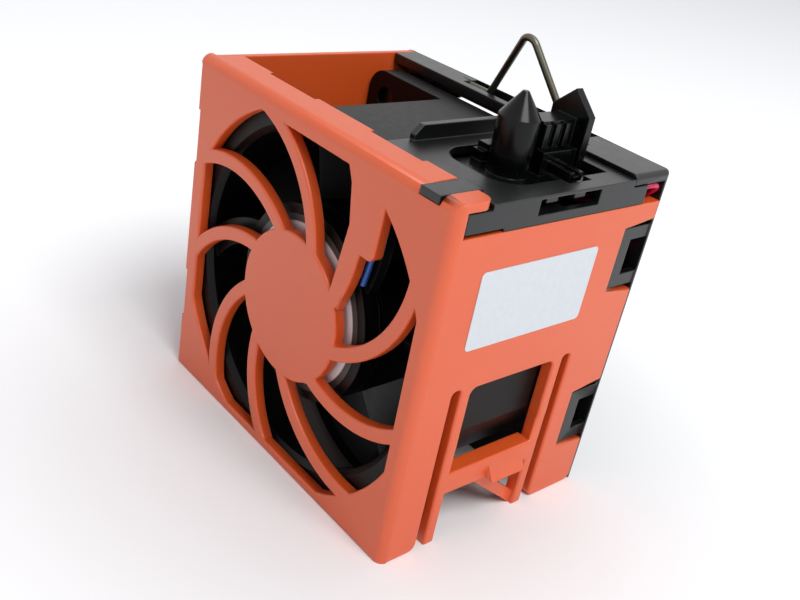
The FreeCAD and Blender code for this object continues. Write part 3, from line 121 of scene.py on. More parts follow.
# PVC insulation, extruded: glossy, colour a little uneven along the lead.
# Its ripples are drawn coarser than life, so that they show.
pvcLook = {"bandSize": 3 * mm, "rippleSize": 0.6 * mm, "rippleStrength": 0.15, "rippleDepth": 0.02 * mm,
           "roughness": 0.32, "ior": 1.54}


def extrudedPvc(name, colour, dullColour, look):
    material, tree, shader, place = newMaterial(name)
    bands = addNode(tree, "ShaderNodeTexNoise", values={"Scale": 1 / look["bandSize"], "Detail": 2.0},
                    links={"Vector": place})
    tone = addNode(tree, "ShaderNodeMix", {"data_type": "RGBA"},
                   {colourA: linear(colour), colourB: linear(dullColour)}, {"Factor": bands.outputs["Fac"]})
    tree.links.new(tone.outputs[colourOut], shader.inputs["Base Color"])
    ripple = addNode(tree, "ShaderNodeTexNoise", values={"Scale": 1 / look["rippleSize"], "Detail": 2.0},
                     links={"Vector": place})
    bump = addNode(tree, "ShaderNodeBump",
                   values={"Strength": look["rippleStrength"], "Distance": look["rippleDepth"]},
                   links={"Height": ripple.outputs["Fac"]})
    tree.links.new(bump.outputs["Normal"], shader.inputs["Normal"])
    shader.inputs["Roughness"].default_value = look["roughness"]
    shader.inputs["IOR"].default_value = look["ior"]
    return material


# Leads from the motor to the connector: the routes' points in millimetres, real lengths in metres
leadLook = {
    "diameter": 1.0 * mm, "sides": 5, "steps": 8,
    "red": {"length": 0.1129, "colour": "#D00F4E", "dullColour": "#B50B43", "route": (
        (10.86, -20.67, 43.60), (11.6, -20.67, 47.74), (12.4, -20.67, 52.75), (14.95, -20.67, 58.35),
        (14.95, -14.6, 58.35), (14.95, 3.4, 58.35), (14.95, 9.0, 58.35), (20.6, 9.0, 57.6), (26.8, 8.6, 56.1),
        (30.25, 11.5, 58.25), (29.8, 17.3, 58.1), (31.9, 19.5, 60.0), (31.75, 21.9, 59.5), (30.6, 22.7, 58.0),
        (28.4, 22.0, 55.9), (28.5, 21.6, 52.0), (28.5, 21.5, 49.8), (28.5, 21.5, 48.0), (28.6, 20.27, 46.8),
        (28.7, 18.53, 46.8), (28.7, 17.3, 48.0), (28.7, 17.3, 49.8), (28.7, 17.4, 53.5), (28.8, 17.4, 57.4),
        (28.7, 15.2, 59.4), (28.4, 11.9, 58.8), (27.6, 8.6, 57.5), (24.4, 7.4, 57.8), (19.3, 7.8, 57.95))},
    "yellow": {"length": 0.0442, "colour": "#DDAF1E", "dullColour": "#C79A12", "route": (
        (11.91, -20.67, 42.68), (12.75, -20.67, 47.28), (13.55, -20.67, 52.75), (16.10, -20.67, 58.35),
        (16.10, -14.6, 58.35), (16.10, -0.8, 58.35), (16.10, 5.9, 58.35), (19.0, 5.9, 58.35))},
    "black": {"length": 0.0424, "colour": "#1B1B1C", "dullColour": "#252527", "route": (
        (12.89, -20.67, 41.69), (13.9, -20.67, 46.82), (14.7, -20.67, 52.75), (17.25, -20.67, 58.35),
        (17.25, -14.6, 58.35), (17.25, -3.5, 58.35), (17.3, 1.2, 56.9), (17.9, 3.9, 56.9),
        (19.0, 4.0, 58.35))},
    "blue": {"length": 0.0408, "colour": "#2E63BC", "dullColour": "#2453A3", "route": (
        (13.79, -20.67, 40.62), (15.05, -20.67, 46.36), (15.85, -20.67, 52.75), (18.40, -20.67, 58.35),
        (18.40, -14.6, 58.35), (18.40, 2.7, 58.35))},
}


def layLeads(look):
    for colour in ("red", "yellow", "black", "blue"):
        lead = look[colour]
        curve = bpy.data.curves.new(colour + "Lead", "CURVE")
        curve.dimensions = "3D"
        spline = curve.splines.new("NURBS")
        spline.points.add(len(lead["route"]) - 1)
        for point, spot in zip(spline.points, lead["route"]):
            point.co = [part * mm for part in spot] + [1]
        spline.order_u = 3
        spline.use_endpoint_u = True
        spline.resolution_u = look["steps"]
        curve.bevel_depth = look["diameter"] / 2
        curve.bevel_resolution = look["sides"]
        curve.use_fill_caps = True
        material = extrudedPvc("pvcExtruded" + colour.capitalize(), lead["colour"], lead["dullColour"],
                               pvcLook)
        piece = newPiece(colour + "Lead", curve, material, "module", "lead_" + colour)


layLeads(leadLook)
print("leads laid")

# Moulded plastic: satin grain from a spark-eroded tool, faint flow clouds, rubbed edges, a little dust.
# The grain is drawn coarser than life, so that it shows. These values hold for every plastic. Wear starts
# where the softened normal leans by flatEdge and is full at sharpEdge, both given as cosines.
plasticLook = {"flatEdge": 0.995, "sharpEdge": 0.80, "edgeSamples": 6, "glossSpread": 0.06,
               "grainDepth": 0.02 * mm, "bleed": 0, "bleedColour": (1.0, 0.2, 0.08), "bleedReach": 0.6 * mm}


def mouldedPlastic(name, ownLook):
    look = {**plasticLook, **ownLook}
    material, tree, shader, place = newMaterial(name)
    clouds = addNode(tree, "ShaderNodeTexNoise", values={"Scale": 1 / look["cloudSize"], "Detail": 3.0},
                     links={"Vector": place})
    shade = addNode(tree, "ShaderNodeMix", {"data_type": "RGBA"},
                    {colourA: linear(look["colour"]), colourB: linear(look["cloudColour"])},
                    {"Factor": clouds.outputs["Fac"]})
    soft = addNode(tree, "ShaderNodeBevel", {"samples": look["edgeSamples"]}, {"Radius": look["edgeRound"]})
    flat = addNode(tree, "ShaderNodeNewGeometry")
    facing = addNode(tree, "ShaderNodeVectorMath", {"operation": "DOT_PRODUCT"},
                     links={0: soft.outputs["Normal"], 1: flat.outputs["Normal"]})
    edge = addNode(tree, "ShaderNodeMapRange",
                   values={"From Min": look["flatEdge"], "From Max": look["sharpEdge"]},
                   links={"Value": facing.outputs["Value"]})
    rub = addNode(tree, "ShaderNodeTexNoise", values={"Scale": 1 / look["rubSize"], "Detail": 4.0},
                  links={"Vector": place})
    worn = addNode(tree, "ShaderNodeMath", {"operation": "MULTIPLY"},
                   links={0: edge.outputs["Result"], 1: rub.outputs["Fac"]})
    amount = addNode(tree, "ShaderNodeMath", {"operation": "MULTIPLY"}, {1: look["wear"]},
                     {0: worn.outputs["Value"]})
    rubbed = addNode(tree, "ShaderNodeMix", {"data_type": "RGBA"}, {colourB: linear(look["wornColour"])},
                     {"Factor": amount.outputs["Value"], colourA: shade.outputs[colourOut]})
    specks = addNode(tree, "ShaderNodeTexVoronoi", values={"Scale": 1 / look["dustSpacing"]},
                     links={"Vector": place})
    speck = look["dustSize"] / look["dustSpacing"]
    dust = addNode(tree, "ShaderNodeMapRange",
                   values={"From Min": speck, "From Max": speck / 2, "To Max": look["dust"]},
                   links={"Value": specks.outputs["Distance"]})
    dusted = addNode(tree, "ShaderNodeMix", {"data_type": "RGBA"}, {colourB: linear(look["wornColour"])},
                     {"Factor": dust.outputs["Result"], colourA: rubbed.outputs[colourOut]})
    tree.links.new(dusted.outputs[colourOut], shader.inputs["Base Color"])
    gloss = addNode(tree, "ShaderNodeMapRange",
                    values={"To Min": look["roughness"] - look["glossSpread"],
                            "To Max": look["roughness"] + look["glossSpread"]},
                    links={"Value": rub.outputs["Fac"]})
    tree.links.new(gloss.outputs["Result"], shader.inputs["Roughness"])
    grain = addNode(tree, "ShaderNodeTexNoise", values={"Scale": 1 / look["grainSize"], "Detail": 2.0},
                    links={"Vector": place})
    bump = addNode(tree, "ShaderNodeBump",
                   values={"Strength": look["grainStrength"], "Distance": look["grainDepth"]},
                   links={"Height": grain.outputs["Fac"], "Normal": soft.outputs["Normal"]})
    tree.links.new(bump.outputs["Normal"], shader.inputs["Normal"])
    shader.inputs["IOR"].default_value = look["ior"]
    shader.inputs["Specular IOR Level"].default_value = look["sheen"]
    shader.inputs["Subsurface Weight"].default_value = look["bleed"]
    shader.inputs["Subsurface Radius"].default_value = look["bleedColour"]
    shader.inputs["Subsurface Scale"].default_value = look["bleedReach"]
    return material


# ABS, moulded: even terracotta orange, satin, a little paler where edges rub
orangeAbs = mouldedPlastic("orangeAbsMoulded", {
    "colour": "#DC551B", "cloudColour": "#E15B20", "wornColour": "#F0A27E", "cloudSize": 18 * mm,
    "edgeRound": 0.35 * mm, "rubSize": 2.5 * mm, "wear": 0.45, "dustSpacing": 6 * mm, "dustSize": 0.12 * mm,
    "dust": 0.3, "grainSize": 0.35 * mm, "grainStrength": 0.25, "roughness": 0.40, "ior": 1.56, "sheen": 0.7,
    "bleed": 0.35})
# PBT, moulded black: deep black that takes a broad grey sheen on flat faces, finer grain
blackPbt = mouldedPlastic("blackPbtMoulded", {
    "colour": "#08090A", "cloudColour": "#0D0E10", "wornColour": "#6A6E72", "cloudSize": 12 * mm,
    "edgeRound": 0.3 * mm, "rubSize": 2.0 * mm, "wear": 0.30, "dustSpacing": 2.0 * mm, "dustSize": 0.09 * mm,
    "dust": 0.6, "grainSize": 0.3 * mm, "grainStrength": 0.25, "roughness": 0.32, "ior": 1.50, "sheen": 0.5})
# PBT of the connector: polished tool, so glossier and blacker than the frame
plugPbt = mouldedPlastic("blackPbtPolishedTool", {
    "colour": "#050606", "cloudColour": "#080909", "wornColour": "#4A4D50", "cloudSize": 8 * mm,
    "edgeRound": 0.25 * mm, "rubSize": 1.5 * mm, "wear": 0.25, "dustSpacing": 2.0 * mm, "dustSize": 0.08 * mm,
    "dust": 0.5, "grainSize": 0.4 * mm, "grainStrength": 0.08, "roughness": 0.18, "ior": 1.48, "sheen": 0.22})
# glass-filled PBT of the fan: duller and a shade browner than the frame
fanPbt = mouldedPlastic("blackPbtGlassFilled", {
    "colour": "#040404", "cloudColour": "#070606", "wornColour": "#3A3938", "cloudSize": 9 * mm,
    "edgeRound": 0.2 * mm, "rubSize": 1.5 * mm, "wear": 0.15, "dustSpacing": 3 * mm, "dustSize": 0.08 * mm,
    "dust": 0.4, "grainSize": 0.4 * mm, "grainStrength": 0.3, "roughness": 0.40, "ior": 1.50, "sheen": 0.17})
# the impeller's PBT: a shaded copy of the fan's black, darker and with less sheen, which paints the deep
# shade inside the fan onto the blades and hub
impellerShadedPbt = mouldedPlastic("blackPbtShadedCopy", {
    "colour": "#030303", "cloudColour": "#050505", "wornColour": "#2E2D2C", "cloudSize": 9 * mm,
    "edgeRound": 0.2 * mm, "rubSize": 1.5 * mm, "wear": 0.12, "dustSpacing": 3 * mm, "dustSize": 0.08 * mm,
    "dust": 0.3, "grainSize": 0.3 * mm, "grainStrength": 0.3, "roughness": 0.48, "ior": 1.50, "sheen": 0.09})
# nylon, moulded: creamy white and softly matt
nylonInsulator = mouldedPlastic("nylonMoulded", {
    "colour": "#E4E1D4", "cloudColour": "#EEECE2", "wornColour": "#F6F5EE", "cloudSize": 6 * mm,
    "edgeRound": 0.15 * mm, "rubSize": 1.5 * mm, "wear": 0.2, "dustSpacing": 2 * mm, "dustSize": 0.08 * mm,
    "dust": 0.1, "grainSize": 0.3 * mm, "grainStrength": 0.2, "roughness": 0.45, "ior": 1.53, "sheen": 0.5})
# epoxy, transfer moulded: matt charcoal with a fine tooth
epoxyPackage = mouldedPlastic("epoxyTransferMoulded", {
    "colour": "#202122", "cloudColour": "#292A2B", "wornColour": "#4C4D4E", "cloudSize": 3 * mm,
    "edgeRound": 0.1 * mm, "rubSize": 0.8 * mm, "wear": 0.2, "dustSpacing": 1 * mm, "dustSize": 0.05 * mm,
    "dust": 0.1, "grainSize": 0.25 * mm, "grainStrength": 0.4, "roughness": 0.6, "ior": 1.55, "sheen": 0.5})
# bonded ferrite, pressed: dull dark grey, the grittiest of the set
bondedFerrite = mouldedPlastic("ferriteBonded", {
    "colour": "#3A3836", "cloudColour": "#45423F", "wornColour": "#6A6763", "cloudSize": 4 * mm,
    "edgeRound": 0.1 * mm, "rubSize": 1.0 * mm, "wear": 0.3, "dustSpacing": 1 * mm, "dustSize": 0.08 * mm,
    "dust": 0.2, "grainSize": 0.3 * mm, "grainStrength": 0.5, "roughness": 0.65, "ior": 1.6, "sheen": 0.5})
# solder mask on glass epoxy: green, with pale tinned pads as the specks
boardMask = mouldedPlastic("solderMaskOnGlassEpoxy", {
    "colour": "#1C6B38", "cloudColour": "#237A42", "wornColour": "#B9A25A", "cloudSize": 3 * mm,
    "edgeRound": 0.08 * mm, "rubSize": 1.0 * mm, "wear": 0.3, "dustSpacing": 1.4 * mm, "dustSize": 0.2 * mm,
    "dust": 0.8, "grainSize": 0.3 * mm, "grainStrength": 0.2, "roughness": 0.35, "ior": 1.5, "sheen": 0.5})
print("plastics ready")

# Metal: lines left by drawing, turning or rolling run along one axis, with smears in the gloss.
# The lines are drawn coarser than life, so that they show. These values hold for every metal.
metalLook = {"edgeSamples": 4, "glossDown": 0.08, "glossUp": 0.10, "lineDepth": 0.01 * mm}


def workedMetal(name, ownLook):
    look = {**metalLook, **ownLook}
    material, tree, shader, place = newMaterial(name)
    along = addNode(tree, "ShaderNodeMapping", values={"Scale": look["stretch"]}, links={"Vector": place})
    lines = addNode(tree, "ShaderNodeTexNoise", values={"Scale": 1 / look["lineSize"], "Detail": 3.0},
                    links={"Vector": along.outputs["Vector"]})
    smears = addNode(tree, "ShaderNodeTexNoise", values={"Scale": 1 / look["smearSize"], "Detail": 2.0},
                     links={"Vector": place})
    tone = addNode(tree, "ShaderNodeMix", {"data_type": "RGBA"},
                   {colourA: linear(look["colour"]), colourB: linear(look["dullColour"])},
                   {"Factor": smears.outputs["Fac"]})
    tree.links.new(tone.outputs[colourOut], shader.inputs["Base Color"])
    gloss = addNode(tree, "ShaderNodeMapRange",
                    values={"To Min": look["roughness"] - look["glossDown"],
                            "To Max": look["roughness"] + look["glossUp"]},
                    links={"Value": lines.outputs["Fac"]})
    tree.links.new(gloss.outputs["Result"], shader.inputs["Roughness"])
    soft = addNode(tree, "ShaderNodeBevel", {"samples": look["edgeSamples"]}, {"Radius": look["edgeRound"]})
    bump = addNode(tree, "ShaderNodeBump",
                   values={"Strength": look["lineStrength"], "Distance": look["lineDepth"]},
                   links={"Height": lines.outputs["Fac"], "Normal": soft.outputs["Normal"]})
    tree.links.new(bump.outputs["Normal"], shader.inputs["Normal"])
    shader.inputs["Metallic"].default_value = 1.0
    return material


# spring wire, drawn and left oily: olive-grey with long die lines
springWire = workedMetal("springSteelDrawn", {
    "colour": "#6E6C60", "dullColour": "#504E42", "stretch": (1.0, 1.0, 0.25), "lineSize": 0.3 * mm,
    "smearSize": 4 * mm, "edgeRound": 0.05 * mm, "lineStrength": 0.3, "roughness": 0.36})
# zinc-plated drawn steel: bright with soft grey spangle
zincSteel = workedMetal("steelZincPlated", {
    "colour": "#B9BBBD", "dullColour": "#9A9DA0", "stretch": (1.0, 0.3, 1.0), "lineSize": 0.5 * mm,
    "smearSize": 3 * mm, "edgeRound": 0.1 * mm, "lineStrength": 0.3, "roughness": 0.38})
# brass, turned: warm yellow with fine rings round the axis
turnedBrass = workedMetal("brassTurned", {
    "colour": "#CDA75A", "dullColour": "#A98645", "stretch": (0.3, 3.0, 0.3), "lineSize": 0.3 * mm,
    "smearSize": 2 * mm, "edgeRound": 0.1 * mm, "lineStrength": 0.4, "roughness": 0.30})
# bearing steel, ground: bright and cool, with hardly a line
groundSteel = workedMetal("bearingSteelGround", {
    "colour": "#C4C5C8", "dullColour": "#ABADB1", "stretch": (0.3, 3.0, 0.3), "lineSize": 0.2 * mm,
    "smearSize": 1.5 * mm, "edgeRound": 0.08 * mm, "lineStrength": 0.2, "roughness": 0.20})
# bronze flashed with gold: rich yellow, smooth
goldFlash = workedMetal("bronzeGoldFlashed", {
    "colour": "#DDB866", "dullColour": "#C39C4C", "stretch": (1.0, 1.0, 0.2), "lineSize": 0.2 * mm,
    "smearSize": 1.0 * mm, "edgeRound": 0.05 * mm, "lineStrength": 0.2, "roughness": 0.28})
# enamelled copper wire: red-brown, glossy under its clear enamel
copperWire = workedMetal("copperEnamelled", {
    "colour": "#B4602F", "dullColour": "#8E4622", "stretch": (1.0, 1.0, 1.0), "lineSize": 0.6 * mm,
    "smearSize": 1.5 * mm, "edgeRound": 0.05 * mm, "lineStrength": 0.2, "roughness": 0.26})
# silicon steel, stamped and stacked: sheet edges show as lines across the stack
lamination = workedMetal("siliconSteelStamped", {
    "colour": "#7E8185", "dullColour": "#5F6266", "stretch": (0.05, 4.0, 0.05), "lineSize": 1.6 * mm,
    "smearSize": 2 * mm, "edgeRound": 0.08 * mm, "lineStrength": 0.8, "roughness": 0.42})
print("metals ready")

# Paper, coated: near white and slightly satin, its fibre clouds drawn coarser than life to show
paperLook = {"colour": "#CBD0D6", "paleColour": "#D8DCE1", "fibreSize": 0.9 * mm, "fibreStrength": 0.2,
             "fibreDepth": 0.01 * mm, "roughness": 0.46}


def coatedPaper(look):
    material, tree, shader, place = newMaterial("paperCoated")
    fibres = addNode(tree, "ShaderNodeTexNoise", values={"Scale": 1 / look["fibreSize"], "Detail": 6.0},
                     links={"Vector": place})
    tone = addNode(tree, "ShaderNodeMix", {"data_type": "RGBA"},
                   {colourA: linear(look["colour"]), colourB: linear(look["paleColour"])},
                   {"Factor": fibres.outputs["Fac"]})
    tree.links.new(tone.outputs[colourOut], shader.inputs["Base Color"])
    bump = addNode(tree, "ShaderNodeBump",
                   values={"Strength": look["fibreStrength"], "Distance": look["fibreDepth"]},
                   links={"Height": fibres.outputs["Fac"]})
    tree.links.new(bump.outputs["Normal"], shader.inputs["Normal"])
    shader.inputs["Roughness"].default_value = look["roughness"]
    return material


# Polyester film, printed: satin, pale silver with a dark band round its rim, which stands for the black base
# rim with that rim's sheen painted in as grey
filmLook = {"colour": "#F1ECEE", "dullColour": "#E4DDE0", "rimAndSheenColour": "#3C403D", "bandStart": 14.0 * mm,
            "bandBlur": 0.1 * mm, "smearSize": 4 * mm, "roughLow": 0.28, "roughHigh": 0.42, "metallic": 0.1}


def printedFilm(look):
    material, tree, shader, place = newMaterial("polyesterFilmPrinted")
    centred = addNode(tree, "ShaderNodeMapping",
                      values={"Location": (0, 0, -fanAxis), "Scale": (1, 0, 1)}, links={"Vector": place})
    reach = addNode(tree, "ShaderNodeVectorMath", {"operation": "LENGTH"},
                    links={0: centred.outputs["Vector"]})
    rim = addNode(tree, "ShaderNodeMapRange",
                  values={"From Min": look["bandStart"] - look["bandBlur"],
                          "From Max": look["bandStart"] + look["bandBlur"]},
                  links={"Value": reach.outputs["Value"]})
    smears = addNode(tree, "ShaderNodeTexNoise", values={"Scale": 1 / look["smearSize"], "Detail": 3.0},
                     links={"Vector": place})
    silver = addNode(tree, "ShaderNodeMix", {"data_type": "RGBA"},
                     {colourA: linear(look["colour"]), colourB: linear(look["dullColour"])},
                     {"Factor": smears.outputs["Fac"]})
    # the band's grey is the black rim's own colour with painted sheen
    tone = addNode(tree, "ShaderNodeMix", {"data_type": "RGBA"}, {colourB: linear(look["rimAndSheenColour"])},
                   {"Factor": rim.outputs["Result"], colourA: silver.outputs[colourOut]})
    tree.links.new(tone.outputs[colourOut], shader.inputs["Base Color"])
    gloss = addNode(tree, "ShaderNodeMapRange",
                    values={"To Min": look["roughLow"], "To Max": look["roughHigh"]},
                    links={"Value": smears.outputs["Fac"]})
    tree.links.new(gloss.outputs["Result"], shader.inputs["Roughness"])
    shader.inputs["Metallic"].default_value = look["metallic"]
    return material


paperLabel = coatedPaper(paperLook)
filmLabel = printedFilm(filmLook)

# nodes that keep their CAD shape
finishes = {
    "connector_deck": blackPbt, "connector_housing": plugPbt, "connector_contacts": goldFlash,
    "fan_frame": fanPbt, "rotor_yoke": zincSteel, "rotor_magnet": bondedFerrite, "rotor_boss": turnedBrass,
    "rotor_shaft": groundSteel, "shaft_clip": groundSteel, "bearing_tube": turnedBrass,
    "front_bearing_outer": groundSteel, "front_bearing_inner": groundSteel,
    "front_bearing_balls": groundSteel, "rear_bearing_outer": groundSteel,
    "rear_bearing_inner": groundSteel, "rear_bearing_balls": groundSteel,
    "preload_spring": groundSteel, "stator_core": lamination, "front_insulator": nylonInsulator,
    "rear_insulator": nylonInsulator, "driver_board": boardMask, "board_chips": epoxyPackage,
    "bail": springWire, "side_label": paperLabel, "motor_label": filmLabel,
}
for name, material in finishes.items():
    nodes[name].data.materials.clear()
    nodes[name].data.materials.append(material)
print("finishes set on", len(finishes), "nodes")


# A tree with its named inputs, and a way to run it on a mesh with their values
def newTree(name, inputs):
    tree = bpy.data.node_groups.new(name, "GeometryNodeTree")
    tree.interface.new_socket("Geometry", in_out="INPUT", socket_type="NodeSocketGeometry")
    tree.interface.new_socket("Geometry", in_out="OUTPUT", socket_type="NodeSocketGeometry")
    for label, value in inputs.items():
        kind = "NodeSocketInt" if isinstance(value, int) else "NodeSocketFloat"
        tree.interface.new_socket(label, in_out="INPUT", socket_type=kind)
    return tree, addNode(tree, "NodeGroupInput"), addNode(tree, "NodeGroupOutput")


def runTree(tree, mesh, inputs):
    holder = bpy.data.objects.new(tree.name, mesh)
    scene.collection.objects.link(holder)
    modifier = holder.modifiers.new(tree.name, "NODES")
    modifier.node_group = tree
    sockets = {item.name: item.identifier for item in tree.interface.items_tree if item.in_out == "INPUT"}
    for label, value in inputs.items():
        modifier[sockets[label]] = value
    evaluated = holder.evaluated_get(bpy.context.evaluated_depsgraph_get())
    result = bpy.data.meshes.new_from_object(evaluated)
    holder.modifiers.remove(modifier)
    bpy.data.objects.remove(holder)
    return result


# Mesh of a finished shape; smoothed ones keep their large faces flat beside rounded edges
def toMesh(name, shape, smoothAngle=None):
    mesh = bpy.data.meshes.new(name)
    shape.to_mesh(mesh)
    shape.free()
    if not smoothAngle:
        return mesh
    mesh.shade_smooth()
    mesh.set_sharp_from_angle(angle=math.radians(smoothAngle))
    holder = bpy.data.objects.new(name, mesh)
    scene.collection.objects.link(holder)
    weigh = holder.modifiers.new("evenNormals", "WEIGHTED_NORMAL")
    weigh.keep_sharp = True
    state = bpy.context.evaluated_depsgraph_get()
    result = bpy.data.meshes.new_from_object(holder.evaluated_get(state), preserve_all_data_layers=True,
                                             depsgraph=state)
    bpy.data.objects.remove(holder)
    return result


# Impeller: one swept blade with rounded edges, set round the axis, and a turned hub with a recessed end
impellerLook = {"count": 7, "hubRadius": 16.9 * mm, "tipRadius": 28.0 * mm, "lead": -15.37 * mm,
                "tail": 12.93 * mm, "rootPlane": 12.5 * mm, "tipPlane": 29.0 * mm, "rootSweep": 10.5 * mm,
                "tipSweep": 19.0 * mm, "rootFace": 46 * mm, "tipFace": 60 * mm, "rootBack": 30 * mm,
                "tipBack": 40 * mm, "edgeRound": 0.22 * mm, "chordSteps": 22, "radialSteps": 12,
                "rootSink": 0.6 * mm, "settleRounds": 3, "hubFront": -17.37 * mm, "hubRear": 14.93 * mm,
                "hubWall": 1.0 * mm, "hubEnd": 1.8 * mm, "hubRound": 1.2 * mm, "hubRoundSteps": 6,
                "recess": 0.35 * mm, "recessInner": 4.5 * mm, "recessOuter": 13.2 * mm, "hubSides": 96,
                "smoothAngle": 32}


def bladeShape(look):
    depth = look["tail"] - look["lead"]

    # place across and along the axis, for a share of the chord at a height above the axis
    def sectionPoint(share, sine, height):
        part = (height - look["rootPlane"]) / (look["tipPlane"] - look["rootPlane"])
        sweep = look["rootSweep"] + (look["tipSweep"] - look["rootSweep"]) * part
        chord = math.hypot(sweep, depth)
        bows = []
        for surface in ("Face", "Back"):
            radius = look["root" + surface] + (look["tip" + surface] - look["root" + surface]) * part
            middle = math.sqrt(radius ** 2 - chord ** 2 / 4)
            bows.append(math.sqrt(radius ** 2 - (chord * (share - 0.5)) ** 2) - middle)
        half = (bows[1] - bows[0]) / 2
        bow = (bows[0] + bows[1]) / 2 + math.copysign(half, sine) + look["edgeRound"] * sine
        x = sweep * (share - 0.5) + bow * depth / chord
        return x, look["lead"] + depth * share - bow * sweep / chord

    shape = bmesh.new()
    rings = []
    steps = look["chordSteps"]
    for step in range(look["radialSteps"] + 1):
        inner = look["hubRadius"] - look["rootSink"]
        radius = inner + (look["tipRadius"] - inner) * step / look["radialSteps"]
        ring = []
        for corner in range(2 * steps):
            turn = math.pi * corner / steps
            share = (1 - math.cos(turn)) / 2
            height = radius
            for settle in range(look["settleRounds"]):  # the height depends on x, and x on the height
                x, y = sectionPoint(share, math.sin(turn), height)
                height = math.sqrt(radius ** 2 - x ** 2)
            ring.append(shape.verts.new((x, y, height)))
        rings.append(ring)
    for low, high in zip(rings, rings[1:]):
        for corners in zip(low, low[1:] + low[:1], high[1:] + high[:1], high):
            shape.faces.new(corners)
    for ring in (rings[0], rings[-1]):
        for corners in zip(ring[:steps], ring[1:], ring[-2:steps - 1:-1], ring[-1:steps:-1]):
            shape.faces.new(list(dict.fromkeys(corners)))
    bmesh.ops.recalc_face_normals(shape, faces=shape.faces)
    return toMesh("blade", shape)


def hubShape(look):
    rear, outer, recess, curve = look["hubRear"], look["hubRadius"], look["recess"], look["hubRound"]
    inner, floor = outer - look["hubWall"], rear - look["hubEnd"]
    profile = [(0, rear), (look["recessInner"], rear), (look["recessInner"] + recess, rear - recess),
               (look["recessOuter"] - recess, rear - recess), (look["recessOuter"], rear)]
    for step in range(look["hubRoundSteps"] + 1):
        turn = math.pi / 2 * step / look["hubRoundSteps"]
        profile.append((outer - curve * (1 - math.sin(turn)), rear - curve * (1 - math.cos(turn))))
    profile += [(outer, look["hubFront"]), (inner, look["hubFront"]), (inner, floor), (0, floor)]
    shape = bmesh.new()
    verts = [shape.verts.new((x, y, 0)) for x, y in profile]
    edges = [shape.edges.new(pair) for pair in zip(verts, verts[1:])]
    bmesh.ops.spin(shape, geom=verts + edges, cent=(0, 0, 0), axis=(0, 1, 0), angle=2 * math.pi,
                   steps=look["hubSides"], use_merge=True)
    bmesh.ops.remove_doubles(shape, verts=shape.verts, dist=mergeReach)
    bmesh.ops.recalc_face_normals(shape, faces=shape.faces)
    return toMesh("hub", shape)


def buildImpeller(look):
    inputs = {"Blade Count": look["count"], "Axis Height": fanAxis}
    tree, given, result = newTree("bladesRoundAxis", inputs)
    points = addNode(tree, "GeometryNodePoints", links={"Count": given.outputs["Blade Count"]})
    pitch = addNode(tree, "ShaderNodeMath", {"operation": "DIVIDE"}, {0: 2 * math.pi},
                    {1: given.outputs["Blade Count"]})
    number = addNode(tree, "GeometryNodeInputIndex")
    angle = addNode(tree, "ShaderNodeMath", {"operation": "MULTIPLY"},
                    links={0: number.outputs["Index"], 1: pitch.outputs["Value"]})
    turn = addNode(tree, "ShaderNodeCombineXYZ", links={"Y": angle.outputs["Value"]})
    blades = addNode(tree, "GeometryNodeInstanceOnPoints",
                     links={"Points": points.outputs["Points"], "Instance": given.outputs["Geometry"],
                            "Rotation": turn.outputs["Vector"]})
    solid = addNode(tree, "GeometryNodeRealizeInstances", links={"Geometry": blades.outputs["Instances"]})
    lift = addNode(tree, "ShaderNodeCombineXYZ", links={"Z": given.outputs["Axis Height"]})
    raised = addNode(tree, "GeometryNodeTransform",
                     links={"Geometry": solid.outputs["Geometry"], "Translation": lift.outputs["Vector"]})
    # the blades take the darker shaded copy of the fan's black: painted shade
    coated = addNode(tree, "GeometryNodeSetMaterial", values={"Material": impellerShadedPbt},
                     links={"Geometry": raised.outputs["Geometry"]})
    tree.links.new(coated.outputs["Geometry"], result.inputs["Geometry"])
    shape = bmesh.new()
    shape.from_mesh(runTree(tree, bladeShape(look), inputs))
    hub = hubShape(look)
    hub.transform(Matrix.Translation((0, 0, fanAxis)))
    shape.from_mesh(hub)
    mesh = toMesh("impellerMoulding", shape, look["smoothAngle"])
    # blades and hub both wear the shaded copy: painted shade
    newPiece("impellerMoulding", mesh, impellerShadedPbt, "rotor", "impeller")


buildImpeller(impellerLook)
print("impeller ready")

# Windings: rounded turns of enamelled wire, stacked along each tooth in layers
windingLook = {"teeth": 4, "turns": 10, "layers": 4, "wire": 0.35 * mm, "wireSides": 6,
               "wireShare": 0.49, "innerWidth": 3.76 * mm, "innerLength": 10.76 * mm, "start": 7.0 * mm,
               "reach": 3.55 * mm, "middle": -7.57 * mm, "corner": 0.5 * mm, "cornerSteps": 3}


